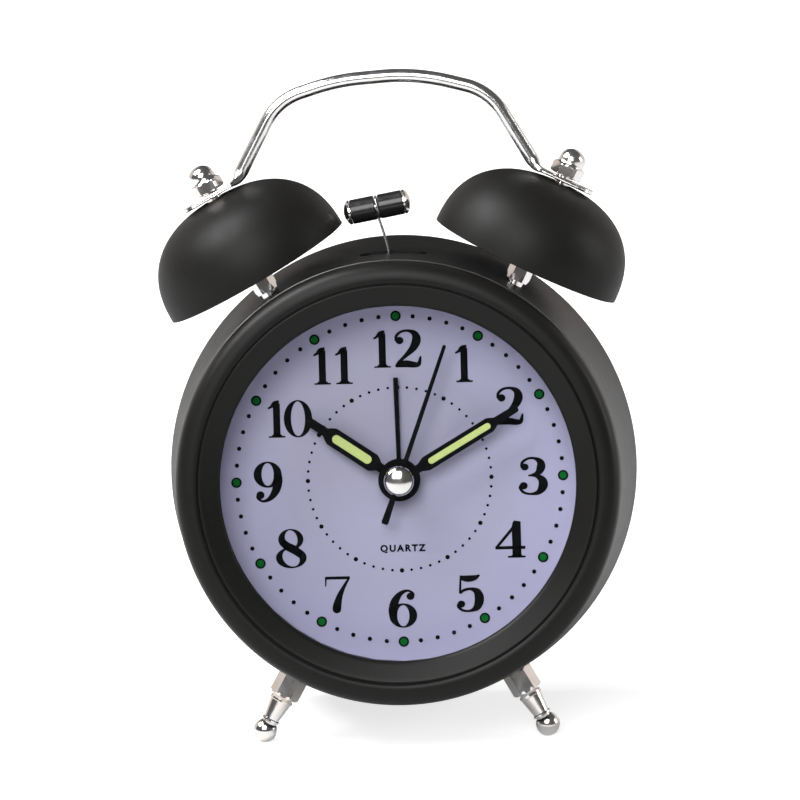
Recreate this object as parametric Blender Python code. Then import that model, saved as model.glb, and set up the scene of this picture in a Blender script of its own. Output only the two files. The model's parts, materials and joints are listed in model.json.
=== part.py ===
# Twin-bell quartz alarm clock: a round steel case that leans back on two ball feet and its own
# rear rim, with two bells, a hammer, a wire handle, and a quartz movement with its alarm drive.
#
# Sizes are in millimetres and are scaled to metres when a mesh is made. The clock frame has its
# origin where the case's axis meets the front of the dial, X to the right as the clock is read,
# Y into the clock and Z up the dial. The stance empty leans that frame back and stands it on the
# floor. The head empty turns the bells and the handle slightly about the case's axis.

import math

import bmesh
import bpy
from mathutils import Matrix, Vector

MM = 0.001

# Clearances
GAP = 0.3  # between pieces that touch
RUNNING = 0.25  # round a shaft or pipe that turns
SLIDE = 0.3  # beside a piece that slides

# Case
BEZEL_RADIUS = 41.5
CASE_FLARE = 2.9  # how much wider the case is near the rear than its bezel
CASE_FRONT = -7.4
CASE_CREST = 27.0  # depth of the widest ring
CASE_REAR = 31.4
CASE_WALL = 1.0
REAR_ROLL = 2.6  # how far the rear edge rolls in
LIP_WIDTH = 1.0  # folded edge round the back cover

# Front
BEZEL_FRONT = -13.8
SIGHT_RADIUS = 33.1  # what the bezel leaves open
LENS_RADIUS = 36.2
LENS_FRONT = -10.6
LENS_THICKNESS = 1.2
DIAL_THICKNESS = 0.5
RING_WALL = 2.0

# Head: bells, posts, nuts, handle
HEAD_Y = 8.5
HEAD_SKEW = 1.2  # degrees, left bell lower
BELL_ANGLE = 33.2  # degrees from the top of the case to a post
BELL_TILT = 27.7  # degrees between a post and the vertical
LEFT_NOD, RIGHT_NOD = 4.0, 2.2  # degrees a bell tips forwards on its stud, about its crown
BELL_RADIUS = 18.5
BELL_HEIGHT = 16.0
BELL_WALL = 0.9
BELL_FULLNESS = 2.4  # exponent of the dome's outline, 2 is a plain ellipse
RIM_STANDOFF = 4.7  # from the case to the plane of the bell's rim
POST_FLATS = 4.0
POST_SEAT = 0.6
STUD_RADIUS = 1.5
STUD_INSIDE = 3.0
NUT_FLATS = 5.5
NUT_HEX = 2.1
NUT_HEIGHT = 5.4
NUT_DOME_RADIUS = 2.45
WIRE_RADIUS = 1.3
PLATE_THICKNESS = 0.9
PLATE_WIDTH = 5.8
PLATE_OUTER = 6.0  # from the stud to the plate's end
PLATE_INNER = 5.4  # from the stud to the bend
TAPER = 1.6  # how far ahead of the bend the plate starts to turn into wire
SHOULDER_RISE = 14.75  # from the bend up to the handle's shoulder
SHOULDER_IN = 8.3
TOP_CORNERS = ((-8.6, 18.0), (6.3, 18.7))  # X, and height above the bends
FOOT_BEND = 2.2
SHOULDER_BEND = 11.0
TOP_BEND = 39.0

# Feet
FOOT_Y = 3.0
FOOT_ANGLE = 29.5  # degrees from straight down
FOOT_REACH = 12.3  # from the case to the ball's centre
BALL_RADIUS = 2.25
COLLAR_FLATS = 5.0
COLLAR_LENGTH = 4.6
CONE_WIDE = 2.2
CONE_NARROW = 1.4

# Movement
PLATE_FRONT = 0.8
FRONT_PLATE_THICKNESS = 1.5
HOUSING_HALF = 28.3
HOUSING_TOP = 16.0
HOUSING_BOTTOM = -28.2
HOUSING_WALL = 1.2
BACK_WALL = 15.5  # front of the movement's back wall
CELL_RADIUS = 7.25
CELL_LENGTH = 50.5
CELL_Z = -19.6
CELL_NUB = 1.1
BAY_FLOOR = 13.65
BAY_WALL = 1.45

# Pipes and arbor on the case's axis, each running inside the next
ARBOR = 0.4
PIPE_WALL = 0.45
HUB = 3.9

# Wheels
TRAIN_MODULE = 0.3
MOTION_MODULE = 0.4
ALARM_MODULE = 0.55
DRIVE_MODULE = 0.4
PINION = 6
STEP_TEETH = 30
SECONDS_TEETH = 36
THIRD_TEETH = 48
CENTRE_TEETH = 45
CANNON_TEETH = 12
MOTION_TEETH = 36
MOTION_PINION = 10
HOUR_TEETH = 40
SETTING_TEETH = 12
ALARM_TEETH = 44
ALARM_PINION = 16
CRANK_TEETH = 30
MOTOR_TEETH = 8

# Hands: distance from the axis and clockwise angle from twelve
HAND_THICKNESS = 0.4
HOUR_LENGTH = 20.8
HOUR_ANGLE = 304.3
MINUTE_LENGTH = 26.0
MINUTE_ANGLE = 59.7
SECOND_LENGTH = 26.8
SECOND_TAIL = 8.6
SECOND_ANGLE = 20.0
ALARM_LENGTH = 19.1
ALARM_ANGLE = 359.2

# Back
COVER_FRONT = 29.3
COVER_THICKNESS = 1.6
LABEL_PANEL = (5.0, 29.0, 11.0, 3.5)  # x, z and half sizes of a flat panel raised on the cover
PANEL_RISE = 0.4
KNOB_RADIUS = 5.0
KNOB_LENGTH = 5.5
SHAFT_RADIUS = 1.5
KNOB_X = 16.0
KNOB_Z = 4.0
SCREW_RADIUS = 1.0
SCREW_HEAD = 2.0
BOSS_RADIUS = 2.6
SWITCH_X = -14.0
SWITCH_Z = 22.0
SWITCH_TRAVEL = 4.0

# Hammer and its drive
PIVOT_DEPTH = 9.6  # below the case's outside
HAMMER_TILT = 10.0  # degrees to the left at rest
HAMMER_ARM = 18.4
HAMMER_RADIUS = 2.3
HAMMER_HALF = 6.35
LEVER_THICKNESS = 1.8
FORK_HALF = 3.4
PRONG = 1.2
HAMMER_WIRE = 0.25
SLOT_LENGTH = 12.8
SLOT_WIDTH = 3.6
SLOT_X = -0.4
CRANK_DROP = 9.3  # from the pivot to the crank
CRANK_THROW = 1.2
CRANK_PIN = 0.6
MOTOR_RADIUS = 6.0
MOTOR_LENGTH = 12.5
MOTOR_BEARING = 30.0  # degrees, direction from the crank wheel to the motor

# Facets round the large and the small turned pieces
ROUND = 40
SMALL = 16

# Worked out from the above
FRONT_RADIUS = BEZEL_RADIUS - GAP
CASE_RADIUS = BEZEL_RADIUS + CASE_FLARE
LENS_REAR = LENS_FRONT + LENS_THICKNESS
PLATE_REAR = PLATE_FRONT + FRONT_PLATE_THICKNESS
COVER_REAR = COVER_FRONT + COVER_THICKNESS
PANEL_REAR = COVER_REAR + PANEL_RISE
LIP_RADIUS = CASE_RADIUS - REAR_ROLL - LIP_WIDTH - 0.2
STUD_HOLE = STUD_RADIUS + GAP
KNOB_REACH = math.hypot(KNOB_X, KNOB_Z)

FINISHES = {  # colour, roughness, metallic
    "black_paint": ((0.028, 0.027, 0.026), 0.48, 0.0),
    "chrome": ((0.78, 0.77, 0.76), 0.12, 1.0),
    "black_plastic": ((0.02, 0.02, 0.02), 0.4, 0.0),
    "clear": ((0.9, 0.93, 0.95), 0.05, 0.0),
    "dial": ((0.42, 0.41, 0.61), 0.55, 0.0),
    "hand_black": ((0.012, 0.012, 0.012), 0.35, 0.0),
    "white_plastic": ((0.75, 0.75, 0.72), 0.4, 0.0),
    "brass": ((0.72, 0.52, 0.22), 0.3, 1.0),
    "copper": ((0.7, 0.32, 0.16), 0.35, 1.0),
    "steel": ((0.55, 0.55, 0.56), 0.3, 1.0),
    "board": ((0.03, 0.2, 0.08), 0.5, 0.0),
    "cell": ((0.1, 0.12, 0.16), 0.35, 0.3),
}


# ---------------------------------------------------------------- outlines


def circle(radius, count=24, centre=(0.0, 0.0)):
    if radius == 0:
        return [centre]
    turns = [2 * math.pi * k / count for k in range(count)]
    return [(centre[0] + radius * math.cos(a), centre[1] + radius * math.sin(a)) for a in turns]


def rectangle(x0, x1, z0, z1):
    return [(x0, z0), (x1, z0), (x1, z1), (x0, z1)]


def hexagon(flats):
    return circle(flats / math.sqrt(3), 6)


def capsule(length, width, centre=(0.0, 0.0), count=6):
    """A slot: two half circles joined by straight sides."""
    points = []
    for end, start in ((1, -90), (-1, 90)):
        for k in range(count + 1):
            a = math.radians(start + 180 * k / count)
            x = end * (length - width) / 2 + width / 2 * math.cos(a)
            points.append((centre[0] + x, centre[1] + width / 2 * math.sin(a)))
    return points


def pitch_radius(teeth, module):
    return teeth * module / 2


def gear(teeth, module, turn=0.0):
    """Teeth with straight flanks, narrow enough to mesh with backlash. turn is in teeth."""
    root = pitch_radius(teeth, module) - 1.2 * module
    tip = pitch_radius(teeth, module) + 0.75 * module
    points = []
    for k in range(teeth):
        for share, radius in ((-0.27, root), (0.0, tip), (0.27, root)):
            a = 2 * math.pi * (k + share + turn) / teeth
            points.append((radius * math.cos(a), radius * math.sin(a)))
    return points


def hand_outline(hub, arm, tail=(), count=14):
    """A hub with an arm up and perhaps a tail down, each a list of (half width, distance)."""
    up = math.asin(arm[0][0] / hub)
    down = math.asin(tail[0][0] / hub) if tail else 0.0
    points = [(w, d) for w, d in arm[1:]] + [(-w, d) for w, d in reversed(arm[1:])]
    around = [-up - (math.pi - up - down) * k / count for k in range(count + 1)]
    points += [(hub * math.sin(a), hub * math.cos(a)) for a in around[: None if tail else -1]]
    points += [(-w, -d) for w, d in tail[1:]] + [(w, -d) for w, d in reversed(tail[1:])]
    points += [(-hub * math.sin(a), hub * math.cos(a)) for a in reversed(around)]
    return points


# ---------------------------------------------------------------- mesh builders

MAPS = {  # local outline (u, v) and height h to clock axes
    "X": lambda u, v, h: (h, u, v),
    "Y": lambda u, v, h: (u, h, v),
    "Z": lambda u, v, h: (u, v, h),
}


def fill_between(bm, loops):
    """Fills the flat area between an outer loop and the loops inside it."""
    edges = []
    for loop in loops:
        for a, b in zip(loop, loop[1:] + loop[:1]):
            edges.append(bm.edges.get((a, b)) or bm.edges.new((a, b)))
    bmesh.ops.triangle_fill(bm, edges=edges, use_beauty=False)


def bridge(bm, low, high):
    """Side faces between two rings, a fan where one of them is a point."""
    if len(low) == 1 or len(high) == 1:
        point, ring = (low[0], high) if len(low) == 1 else (high[0], low)
        for a, b in zip(ring, ring[1:] + ring[:1]):
            bm.faces.new((a, b, point))
    elif len(low) == len(high):
        for k in range(len(low)):
            n = (k + 1) % len(low)
            bm.faces.new((low[k], low[n], high[n], high[k]))
    else:
        fill_between(bm, [low, high])


def skin(rings, up="Y", closed=False):
    """A closed mesh through rings of (outline, height). Rings with the same number of points
    are joined by sides, other rings lie at one height and are joined by a flat step. Both ends
    are capped, or joined to each other where the piece has a bore."""
    bm = bmesh.new()
    place = MAPS[up]
    loops = [[bm.verts.new(Vector(place(u, v, h)) * MM) for u, v in ring] for ring, h in rings]
    for low, high in zip(loops, loops[1:]):
        bridge(bm, low, high)
    if closed:
        bridge(bm, loops[-1], loops[0])
    else:
        for end in (loops[0], loops[-1]):
            if len(end) > 2:
                bm.faces.new(end)
    return face_out(bm)


def plate(outline, holes, low, high, up="Y"):
    """A flat plate with through holes."""
    bm = bmesh.new()
    place = MAPS[up]
    sides = []
    for h in (low, high):
        loops = []
        for points in [outline, *holes]:
            loops.append([bm.verts.new(Vector(place(u, v, h)) * MM) for u, v in points])
        sides.append(loops)
    for loops in sides:
        fill_between(bm, loops)
    for below, above in zip(*sides):
        bridge(bm, below, above)
    return face_out(bm)


def turned(profile, count, up="Y", closed=False):
    """A turned piece from (radius, height) points."""
    return skin([(circle(r, count), h) for r, h in profile], up, closed)


def pipe(inner, outer, low, high, count=20, up="Y"):
    return turned([(outer, low), (outer, high), (inner, high), (inner, low)], count, up, True)


def cylinder(radius, low, high, count=20, up="Y", centre=(0.0, 0.0)):
    return skin([(circle(radius, count, centre), low), (circle(radius, count, centre), high)], up)


def block(x0, x1, y0, y1, z0, z1):
    return skin([(rectangle(x0, x1, z0, z1), y0), (rectangle(x0, x1, z0, z1), y1)])


def face_out(bm):
    bmesh.ops.recalc_face_normals(bm, faces=bm.faces)
    if bm.calc_volume(signed=True) < 0:
        bmesh.ops.reverse_faces(bm, faces=bm.faces)
    mesh = bpy.data.meshes.new("piece")
    bm.to_mesh(mesh)
    bm.free()
    return mesh


def sweep(points, sections, side):
    """A bar along points in the XZ plane at y = side. Each section is (half thickness in the
    plane, half width across it)."""
    bm = bmesh.new()
    loops = []
    for k, (x, z) in enumerate(points):
        before = Vector(points[max(k - 1, 0)])
        after = Vector(points[min(k + 1, len(points) - 1)])
        along = (after - before).normalized()
        thick, wide = sections[k]
        ring = []
        for u, v in circle(1.0, 10):
            # an outline squarer than an ellipse where the bar is flattened
            u = math.copysign(abs(u) ** (0.5 if wide > 1.5 * thick else 1.0), u)
            ring.append(
                bm.verts.new(
                    Vector((x - along.y * thick * u, side + wide * v, z + along.x * thick * u)) * MM
                )
            )
        loops.append(ring)
    for low, high in zip(loops, loops[1:]):
        bridge(bm, low, high)
    for end in (loops[0], loops[-1]):
        bm.faces.new(end)
    return face_out(bm)


def rounded_path(corners, radii, steps=4):
    """A path through corners, each inner corner replaced by an arc of its radius."""
    path = [Vector(corners[0])]
    for before, corner, after, radius in zip(corners, corners[1:], corners[2:], radii):
        corner = Vector(corner)
        inward = (Vector(before) - corner).normalized()
        onward = (Vector(after) - corner).normalized()
        half = inward.angle(onward) / 2
        centre = corner + (inward + onward).normalized() * radius / math.sin(half)
        start = corner + inward * radius / math.tan(half) - centre
        end = corner + onward * radius / math.tan(half) - centre
        turn = math.pi - 2 * half
        for k in range(steps + 1):
            share = k / steps
            point = start * math.sin((1 - share) * turn) + end * math.sin(share * turn)
            path.append(centre + point / math.sin(turn))
    path.append(Vector(corners[-1]))
    return path


# ---------------------------------------------------------------- scene


def clear_scene():
    for obj in list(bpy.data.objects):
        bpy.data.objects.remove(obj)


def add_material(name, finish):
    colour, roughness, metallic = FINISHES[finish]
    material = bpy.data.materials.new(name)
    material.use_nodes = True
    shader = material.node_tree.nodes["Principled BSDF"]
    shader.inputs["Base Color"].default_value = (*colour, 1.0)
    shader.inputs["Roughness"].default_value = roughness
    shader.inputs["Metallic"].default_value = metallic
    return material


def add_object(name, mesh, parent, at=(0, 0, 0), turn=(0, 0, 0)):
    obj = bpy.data.objects.new(name, mesh)
    bpy.context.scene.collection.objects.link(obj)
    obj.parent = parent
    obj.location = Vector(at) * MM
    obj.rotation_euler = [math.radians(a) for a in turn]
    return obj


def add_piece(name, mesh, finish, parent, at=(0, 0, 0), turn=(0, 0, 0)):
    obj = add_object(name, mesh, parent, at, turn)
    mesh.materials.append(add_material(name + "_finish", finish))
    mesh.shade_smooth()
    mesh.set_sharp_from_angle(angle=math.radians(35))
    return obj


def combine(obj, mesh, operation, at=(0, 0, 0), turn=(0, 0, 0), parent=None):
    """Cuts a mesh from the piece, or joins it on."""
    tool = add_object(obj.name + "_tool", mesh, parent or obj.parent, at, turn)
    tool.hide_render = True
    tool.display_type = "WIRE"
    modifier = obj.modifiers.new("shape", "BOOLEAN")
    modifier.operation = operation
    modifier.solver = "EXACT"
    modifier.object = tool


def add_empty(name, parent=None, turn=(0, 0, 0)):
    empty = bpy.data.objects.new(name, None)
    bpy.context.scene.collection.objects.link(empty)
    empty.parent = parent
    empty.rotation_euler = [math.radians(a) for a in turn]
    return empty


# ---------------------------------------------------------------- case


def case_radius(y):
    """Outside of the case, flaring from the bezel to the widest ring."""
    share = max(0.0, (y - CASE_FRONT) / (CASE_CREST - CASE_FRONT))
    return FRONT_RADIUS + (CASE_RADIUS - FRONT_RADIUS) * share**1.6


PIVOT_Z = case_radius(HEAD_Y) - PIVOT_DEPTH
CRANK_Z = PIVOT_Z - CRANK_DROP


def rear_roll(inset, drop):
    """Quarter ellipse from the widest ring to the rear edge, as (radius, y)."""
    points = []
    for degrees in (30, 60, 90):
        a = math.radians(degrees)
        y = CASE_CREST + (CASE_REAR - inset - CASE_CREST) * math.sin(a)
        points.append((CASE_RADIUS - inset - drop * (1 - math.cos(a)), y))
    return points


def lean_angle():
    """Lean at which the feet's balls and the first point of the rear rim touch one floor."""
    ball_z = -(case_radius(FOOT_Y) + FOOT_REACH) * math.cos(math.radians(FOOT_ANGLE))
    leans = []
    for radius, y in [(CASE_RADIUS, CASE_CREST), *rear_roll(0.0, REAR_ROLL)]:
        run, rise = y - FOOT_Y, -ball_z - radius
        lean = math.atan2(rise, run) + math.asin(BALL_RADIUS / math.hypot(run, rise))
        leans.append(math.degrees(lean))
    return min(leans)


def add_case(stance, head):
    flare = [CASE_FRONT + (CASE_CREST - CASE_FRONT) * k / 4 for k in range(5)]
    outside = [(case_radius(y), y) for y in flare] + rear_roll(0.0, REAR_ROLL)
    lip = [(LIP_RADIUS, CASE_REAR), (LIP_RADIUS, CASE_REAR - CASE_WALL)]
    inner_drop = CASE_RADIUS - CASE_WALL - LIP_RADIUS - LIP_WIDTH
    inside = [(case_radius(y) - CASE_WALL, y) for y in flare] + rear_roll(CASE_WALL, inner_drop)
    mesh = turned(outside + lip + inside[::-1], ROUND, closed=True)
    can = add_piece("case_can", mesh, "black_paint", stance)

    slot = capsule(SLOT_LENGTH, SLOT_WIDTH, (SLOT_X, HEAD_Y))
    top = case_radius(HEAD_Y)
    combine(can, skin([(slot, top - 4), (slot, top + 4)], "Z"), "DIFFERENCE")
    for side in (-1, 1):
        x, z = post_base(side)
        stud = cylinder(STUD_HOLE, -4, 4, 16)
        turn = (90, side * BELL_TILT, 0)
        combine(can, stud, "DIFFERENCE", (x, HEAD_Y, z), turn, head)
        stud = cylinder(STUD_HOLE, case_radius(FOOT_Y) - 4, case_radius(FOOT_Y) + 4, 16)
        turn = (90, side * (180 - FOOT_ANGLE), 0)
        combine(can, stud, "DIFFERENCE", (0, FOOT_Y, 0), turn)
    return can


def add_front(stance):
    outer, skirt = BEZEL_RADIUS, FRONT_RADIUS - CASE_WALL - GAP
    seat = LENS_RADIUS + GAP
    band = SIGHT_RADIUS + 3.5
    profile = [
        (SIGHT_RADIUS, LENS_FRONT - 1.0),
        (band - 0.2, BEZEL_FRONT + 0.5),
        (band + 0.2, BEZEL_FRONT + 0.7),
        (band + 0.8, BEZEL_FRONT),
        (band + 1.4, BEZEL_FRONT + 0.6),
        (outer - 2.4, BEZEL_FRONT + 0.2),
        (outer - 1.2, BEZEL_FRONT + 0.8),
        (outer - 0.3, BEZEL_FRONT + 2.2),
        (outer, BEZEL_FRONT + 3.6),
        (outer, CASE_FRONT - 0.9),
        (outer - 0.4, CASE_FRONT - 0.4),
        (skirt, CASE_FRONT - 0.4),
        (skirt, CASE_FRONT + 3),
        (skirt - 0.8, CASE_FRONT + 3),
        (skirt - 0.8, LENS_FRONT + 0.6),
        (seat, LENS_FRONT + 0.6),
        (seat, LENS_FRONT - GAP),
        (SIGHT_RADIUS, LENS_FRONT - GAP),
    ]
    add_piece("front_bezel", turned(profile, ROUND, closed=True), "black_paint", stance)
    lens = cylinder(LENS_RADIUS, LENS_FRONT, LENS_REAR, ROUND)
    add_piece("lens", lens, "clear", stance)
    ring = pipe(LENS_RADIUS - RING_WALL, LENS_RADIUS, LENS_REAR + GAP, -GAP, ROUND)
    add_piece("dial_ring", ring, "black_plastic", stance)
    hole = circle(PIPES[2][1] + GAP, SMALL)
    dial = plate(circle(LENS_RADIUS, ROUND), [hole], 0.0, DIAL_THICKNESS)
    add_piece("dial", dial, "dial", stance)


# ---------------------------------------------------------------- head


def post_base(side):
    """Where a post's axis meets the outside of the case, in the head's frame."""
    a = math.radians(BELL_ANGLE)
    radius = case_radius(HEAD_Y)
    return side * radius * math.sin(a), radius * math.cos(a)


def on_post(side, along, across=0.0):
    """A point beside a post's axis: along from the case, across away from the clock's middle."""
    a = math.radians(BELL_TILT)
    x, z = post_base(side)
    x += side * (along * math.sin(a) + across * math.cos(a))
    return x, z + along * math.cos(a) - across * math.sin(a)


def bell_profile():
    points = []
    for inset in (0.0, BELL_WALL):
        arc = []
        for k in range(6):
            a = math.radians(16.2 * k)
            r = (BELL_RADIUS - inset) * math.cos(a) ** (2 / BELL_FULLNESS)
            h = (BELL_HEIGHT - inset) * math.sin(a) ** (2 / BELL_FULLNESS)
            arc.append((r, RIM_STANDOFF + h))
        arc.append((STUD_HOLE, RIM_STANDOFF + BELL_HEIGHT - inset))
        points += arc if inset == 0 else arc[::-1]
    return points


def add_head(head):
    crown = RIM_STANDOFF + BELL_HEIGHT
    shoulder = crown - BELL_WALL - GAP
    nut_seat = crown + GAP + PLATE_THICKNESS + GAP
    dome = []
    for degrees in (0, 30, 60, 90):
        a = math.radians(degrees)
        height = NUT_HEIGHT - NUT_HEX - 0.6
        dome.append((NUT_DOME_RADIUS * math.cos(a), NUT_HEX + 0.6 + height * math.sin(a)))
    dome = [(round(r, 6), nut_seat + h) for r, h in dome]
    for side, word in ((-1, "left"), (1, "right")):
        x, z = post_base(side)
        place = {"parent": head, "at": (x, HEAD_Y, z), "turn": (90, side * BELL_TILT, 0)}
        bell = turned(bell_profile(), 24, closed=True)
        pivot = Matrix.Translation((0, crown * MM, 0))
        nod = math.radians(LEFT_NOD if side < 0 else RIGHT_NOD)
        bell.transform(pivot @ Matrix.Rotation(nod, 4, "X") @ pivot.inverted())
        add_piece("bell_" + word, bell, "black_paint", **place)

        stud, flats = circle(STUD_RADIUS, 12), hexagon(POST_FLATS)
        post = [
            (stud, -CASE_WALL - STUD_INSIDE),
            (stud, POST_SEAT),
            (flats, POST_SEAT),
            (flats, shoulder),
            (stud, shoulder),
            (stud, nut_seat + NUT_HEX - 0.3),
        ]
        add_piece("bell_post_" + word, skin(post), "chrome", **place)

        flats, bore = hexagon(NUT_FLATS), STUD_RADIUS + GAP
        round_top = circle(NUT_DOME_RADIUS, 16)
        nut = [
            ([(0, 0)], nut_seat + NUT_HEX),
            (circle(bore, 12), nut_seat + NUT_HEX),
            (circle(bore, 12), nut_seat),
            (flats, nut_seat),
            (flats, nut_seat + NUT_HEX),
            (round_top, nut_seat + NUT_HEX),
        ]
        nut += [(circle(r, 16), h) for r, h in dome]
        add_piece("acorn_nut_" + word, skin(nut), "chrome", **place)
    add_handle(head, crown + GAP + PLATE_THICKNESS / 2)


def add_handle(head, height):
    """Wire bent over the bells, its flattened ends clamped under the nuts."""
    ends = {side: on_post(side, height, PLATE_OUTER) for side in (-1, 1)}
    bends = {side: on_post(side, height, -PLATE_INNER) for side in (-1, 1)}
    shoulders = {s: (bends[s][0] - s * SHOULDER_IN, bends[s][1] + SHOULDER_RISE) for s in (-1, 1)}
    top = [(x, bends[1][1] + rise) for x, rise in TOP_CORNERS]
    corners = [ends[-1], bends[-1], shoulders[-1], *top, shoulders[1], bends[1], ends[1]]
    half = [FOOT_BEND, SHOULDER_BEND, TOP_BEND]
    path = rounded_path(corners, half + half[::-1])
    # further points along each plate: its round end, and where it starts to turn into wire
    plate_steps = (0.7, PLATE_WIDTH / 2, PLATE_OUTER + PLATE_INNER - TAPER)
    for _ in range(2):
        along = (path[1] - path[0]).normalized()
        path[1:1] = [path[0] + along * step for step in plate_steps]
        path.reverse()
    sections = []
    for point in path:
        side = 1 if point.x > 0 else -1
        stud = Vector(on_post(side, height))
        out = (Vector(on_post(side, height, 1.0)) - stud).dot(point - stud)
        wire = min(max((TAPER - PLATE_INNER - out) / 3.5, 0.0), 1.0)
        inset = max(PLATE_WIDTH / 2 - (PLATE_OUTER - out), 0.0)
        wide = math.sqrt(max((PLATE_WIDTH / 2) ** 2 - inset**2, 2.0))
        thick = PLATE_THICKNESS / 2 * (1 - wire) + WIRE_RADIUS * wire
        sections.append((thick, wide * (1 - wire) + WIRE_RADIUS * wire))
    handle = add_piece("handle", sweep(path, sections, HEAD_Y), "chrome", head)
    for side in (-1, 1):
        x, z = on_post(side, height)
        hole = cylinder(STUD_HOLE, -3, 3, 16)
        combine(handle, hole, "DIFFERENCE", (x, HEAD_Y, z), (90, side * BELL_TILT, 0))


def add_feet(stance):
    base = case_radius(FOOT_Y)
    centre = base + FOOT_REACH
    seat = case_radius(FOOT_Y + COLLAR_FLATS / 2) + GAP
    collar_end = seat + COLLAR_LENGTH
    start = math.asin(CONE_NARROW / BALL_RADIUS)
    turns = [start + (math.pi - start) * k / 6 for k in range(7)]
    ball = [(BALL_RADIUS * math.sin(a), centre - BALL_RADIUS * math.cos(a)) for a in turns]
    ball[-1] = (0, centre + BALL_RADIUS)
    for side, word in ((-1, "left"), (1, "right")):
        foot = [
            (circle(STUD_RADIUS, 12), base - CASE_WALL - STUD_INSIDE),
            (circle(STUD_RADIUS, 12), seat),
            (hexagon(COLLAR_FLATS), seat),
            (hexagon(COLLAR_FLATS), collar_end),
            (circle(CONE_WIDE, 16), collar_end),
            (circle(CONE_NARROW, 16), centre - BALL_RADIUS * 0.96),
        ]
        foot += [(circle(r, 16), h) for r, h in ball]
        turn = (90, side * (180 - FOOT_ANGLE), 0)
        add_piece("foot_" + word, skin(foot), "chrome", stance, (0, FOOT_Y, 0), turn)


# ---------------------------------------------------------------- movement

# Inner and outer radius of the minute, hour and alarm pipes
PIPES = []
for _ in range(3):
    bore = (PIPES[-1][1] if PIPES else ARBOR) + RUNNING
    PIPES.append((bore, bore + PIPE_WALL))


def mesh_distance(first, second, module):
    return pitch_radius(first + second, module)


def towards(start, distance, degrees):
    a = math.radians(degrees)
    return start[0] + distance * math.cos(a), start[1] + distance * math.sin(a)


def setting_wheel_places():
    """The motion wheel meshes with the cannon pinion and with the setting pinion."""
    reach = mesh_distance(CANNON_TEETH, MOTION_TEETH, MOTION_MODULE)
    second = mesh_distance(SETTING_TEETH, MOTION_TEETH, MOTION_MODULE)
    along = (reach**2 - second**2 + KNOB_REACH**2) / (2 * KNOB_REACH)
    degrees = math.degrees(math.atan2(KNOB_Z, KNOB_X) + math.acos(along / reach))
    return towards((0, 0), reach, degrees)


CENTRE = (0.0, 0.0)
MOTION_AT = setting_wheel_places()
STEP_AT = towards(CENTRE, mesh_distance(PINION, SECONDS_TEETH, TRAIN_MODULE), -45)
ROTOR_AT = towards(STEP_AT, mesh_distance(PINION, STEP_TEETH, TRAIN_MODULE), -25)
THIRD_AT = towards(CENTRE, mesh_distance(PINION, THIRD_TEETH, TRAIN_MODULE), 135)
SET_AT = (KNOB_X, KNOB_Z)
ALARM_AT = (-KNOB_X, KNOB_Z)
CRANK_AT = (0.0, CRANK_Z)
MOTOR_AT = towards(
    CRANK_AT, mesh_distance(MOTOR_TEETH, CRANK_TEETH, DRIVE_MODULE), MOTOR_BEARING
)
SCREWS_AT = [(-22.0, 12.0), (22.0, 12.0), (0.0, HOUSING_BOTTOM - 4.1)]
BAY_LOW = CELL_Z - CELL_RADIUS - GAP
BAY_HIGH = CELL_Z + CELL_RADIUS + GAP
BAY_HALF = HOUSING_HALF - HOUSING_WALL
CELL_Y = BAY_FLOOR + GAP + CELL_RADIUS
BAY_FRONT = BAY_FLOOR - BAY_WALL
HOUSING_REAR = COVER_FRONT - GAP


def in_mesh(driver_at, driver_turn, driver_teeth, at, teeth):
    """Turn, in teeth, that puts a gap of the driven wheel opposite a tooth of the driver."""
    bearing = math.atan2(at[1] - driver_at[1], at[0] - driver_at[0]) / (2 * math.pi)
    past = (bearing * driver_teeth - driver_turn) % 1.0
    return ((bearing + 0.5) * teeth + past + 0.5) % 1.0


def arbor_rings(steps):
    """Rings for a stack of outlines along one arbor, from (outline, front, rear)."""
    return [(outline, y) for outline, front, rear in steps for y in (front, rear)]


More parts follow.
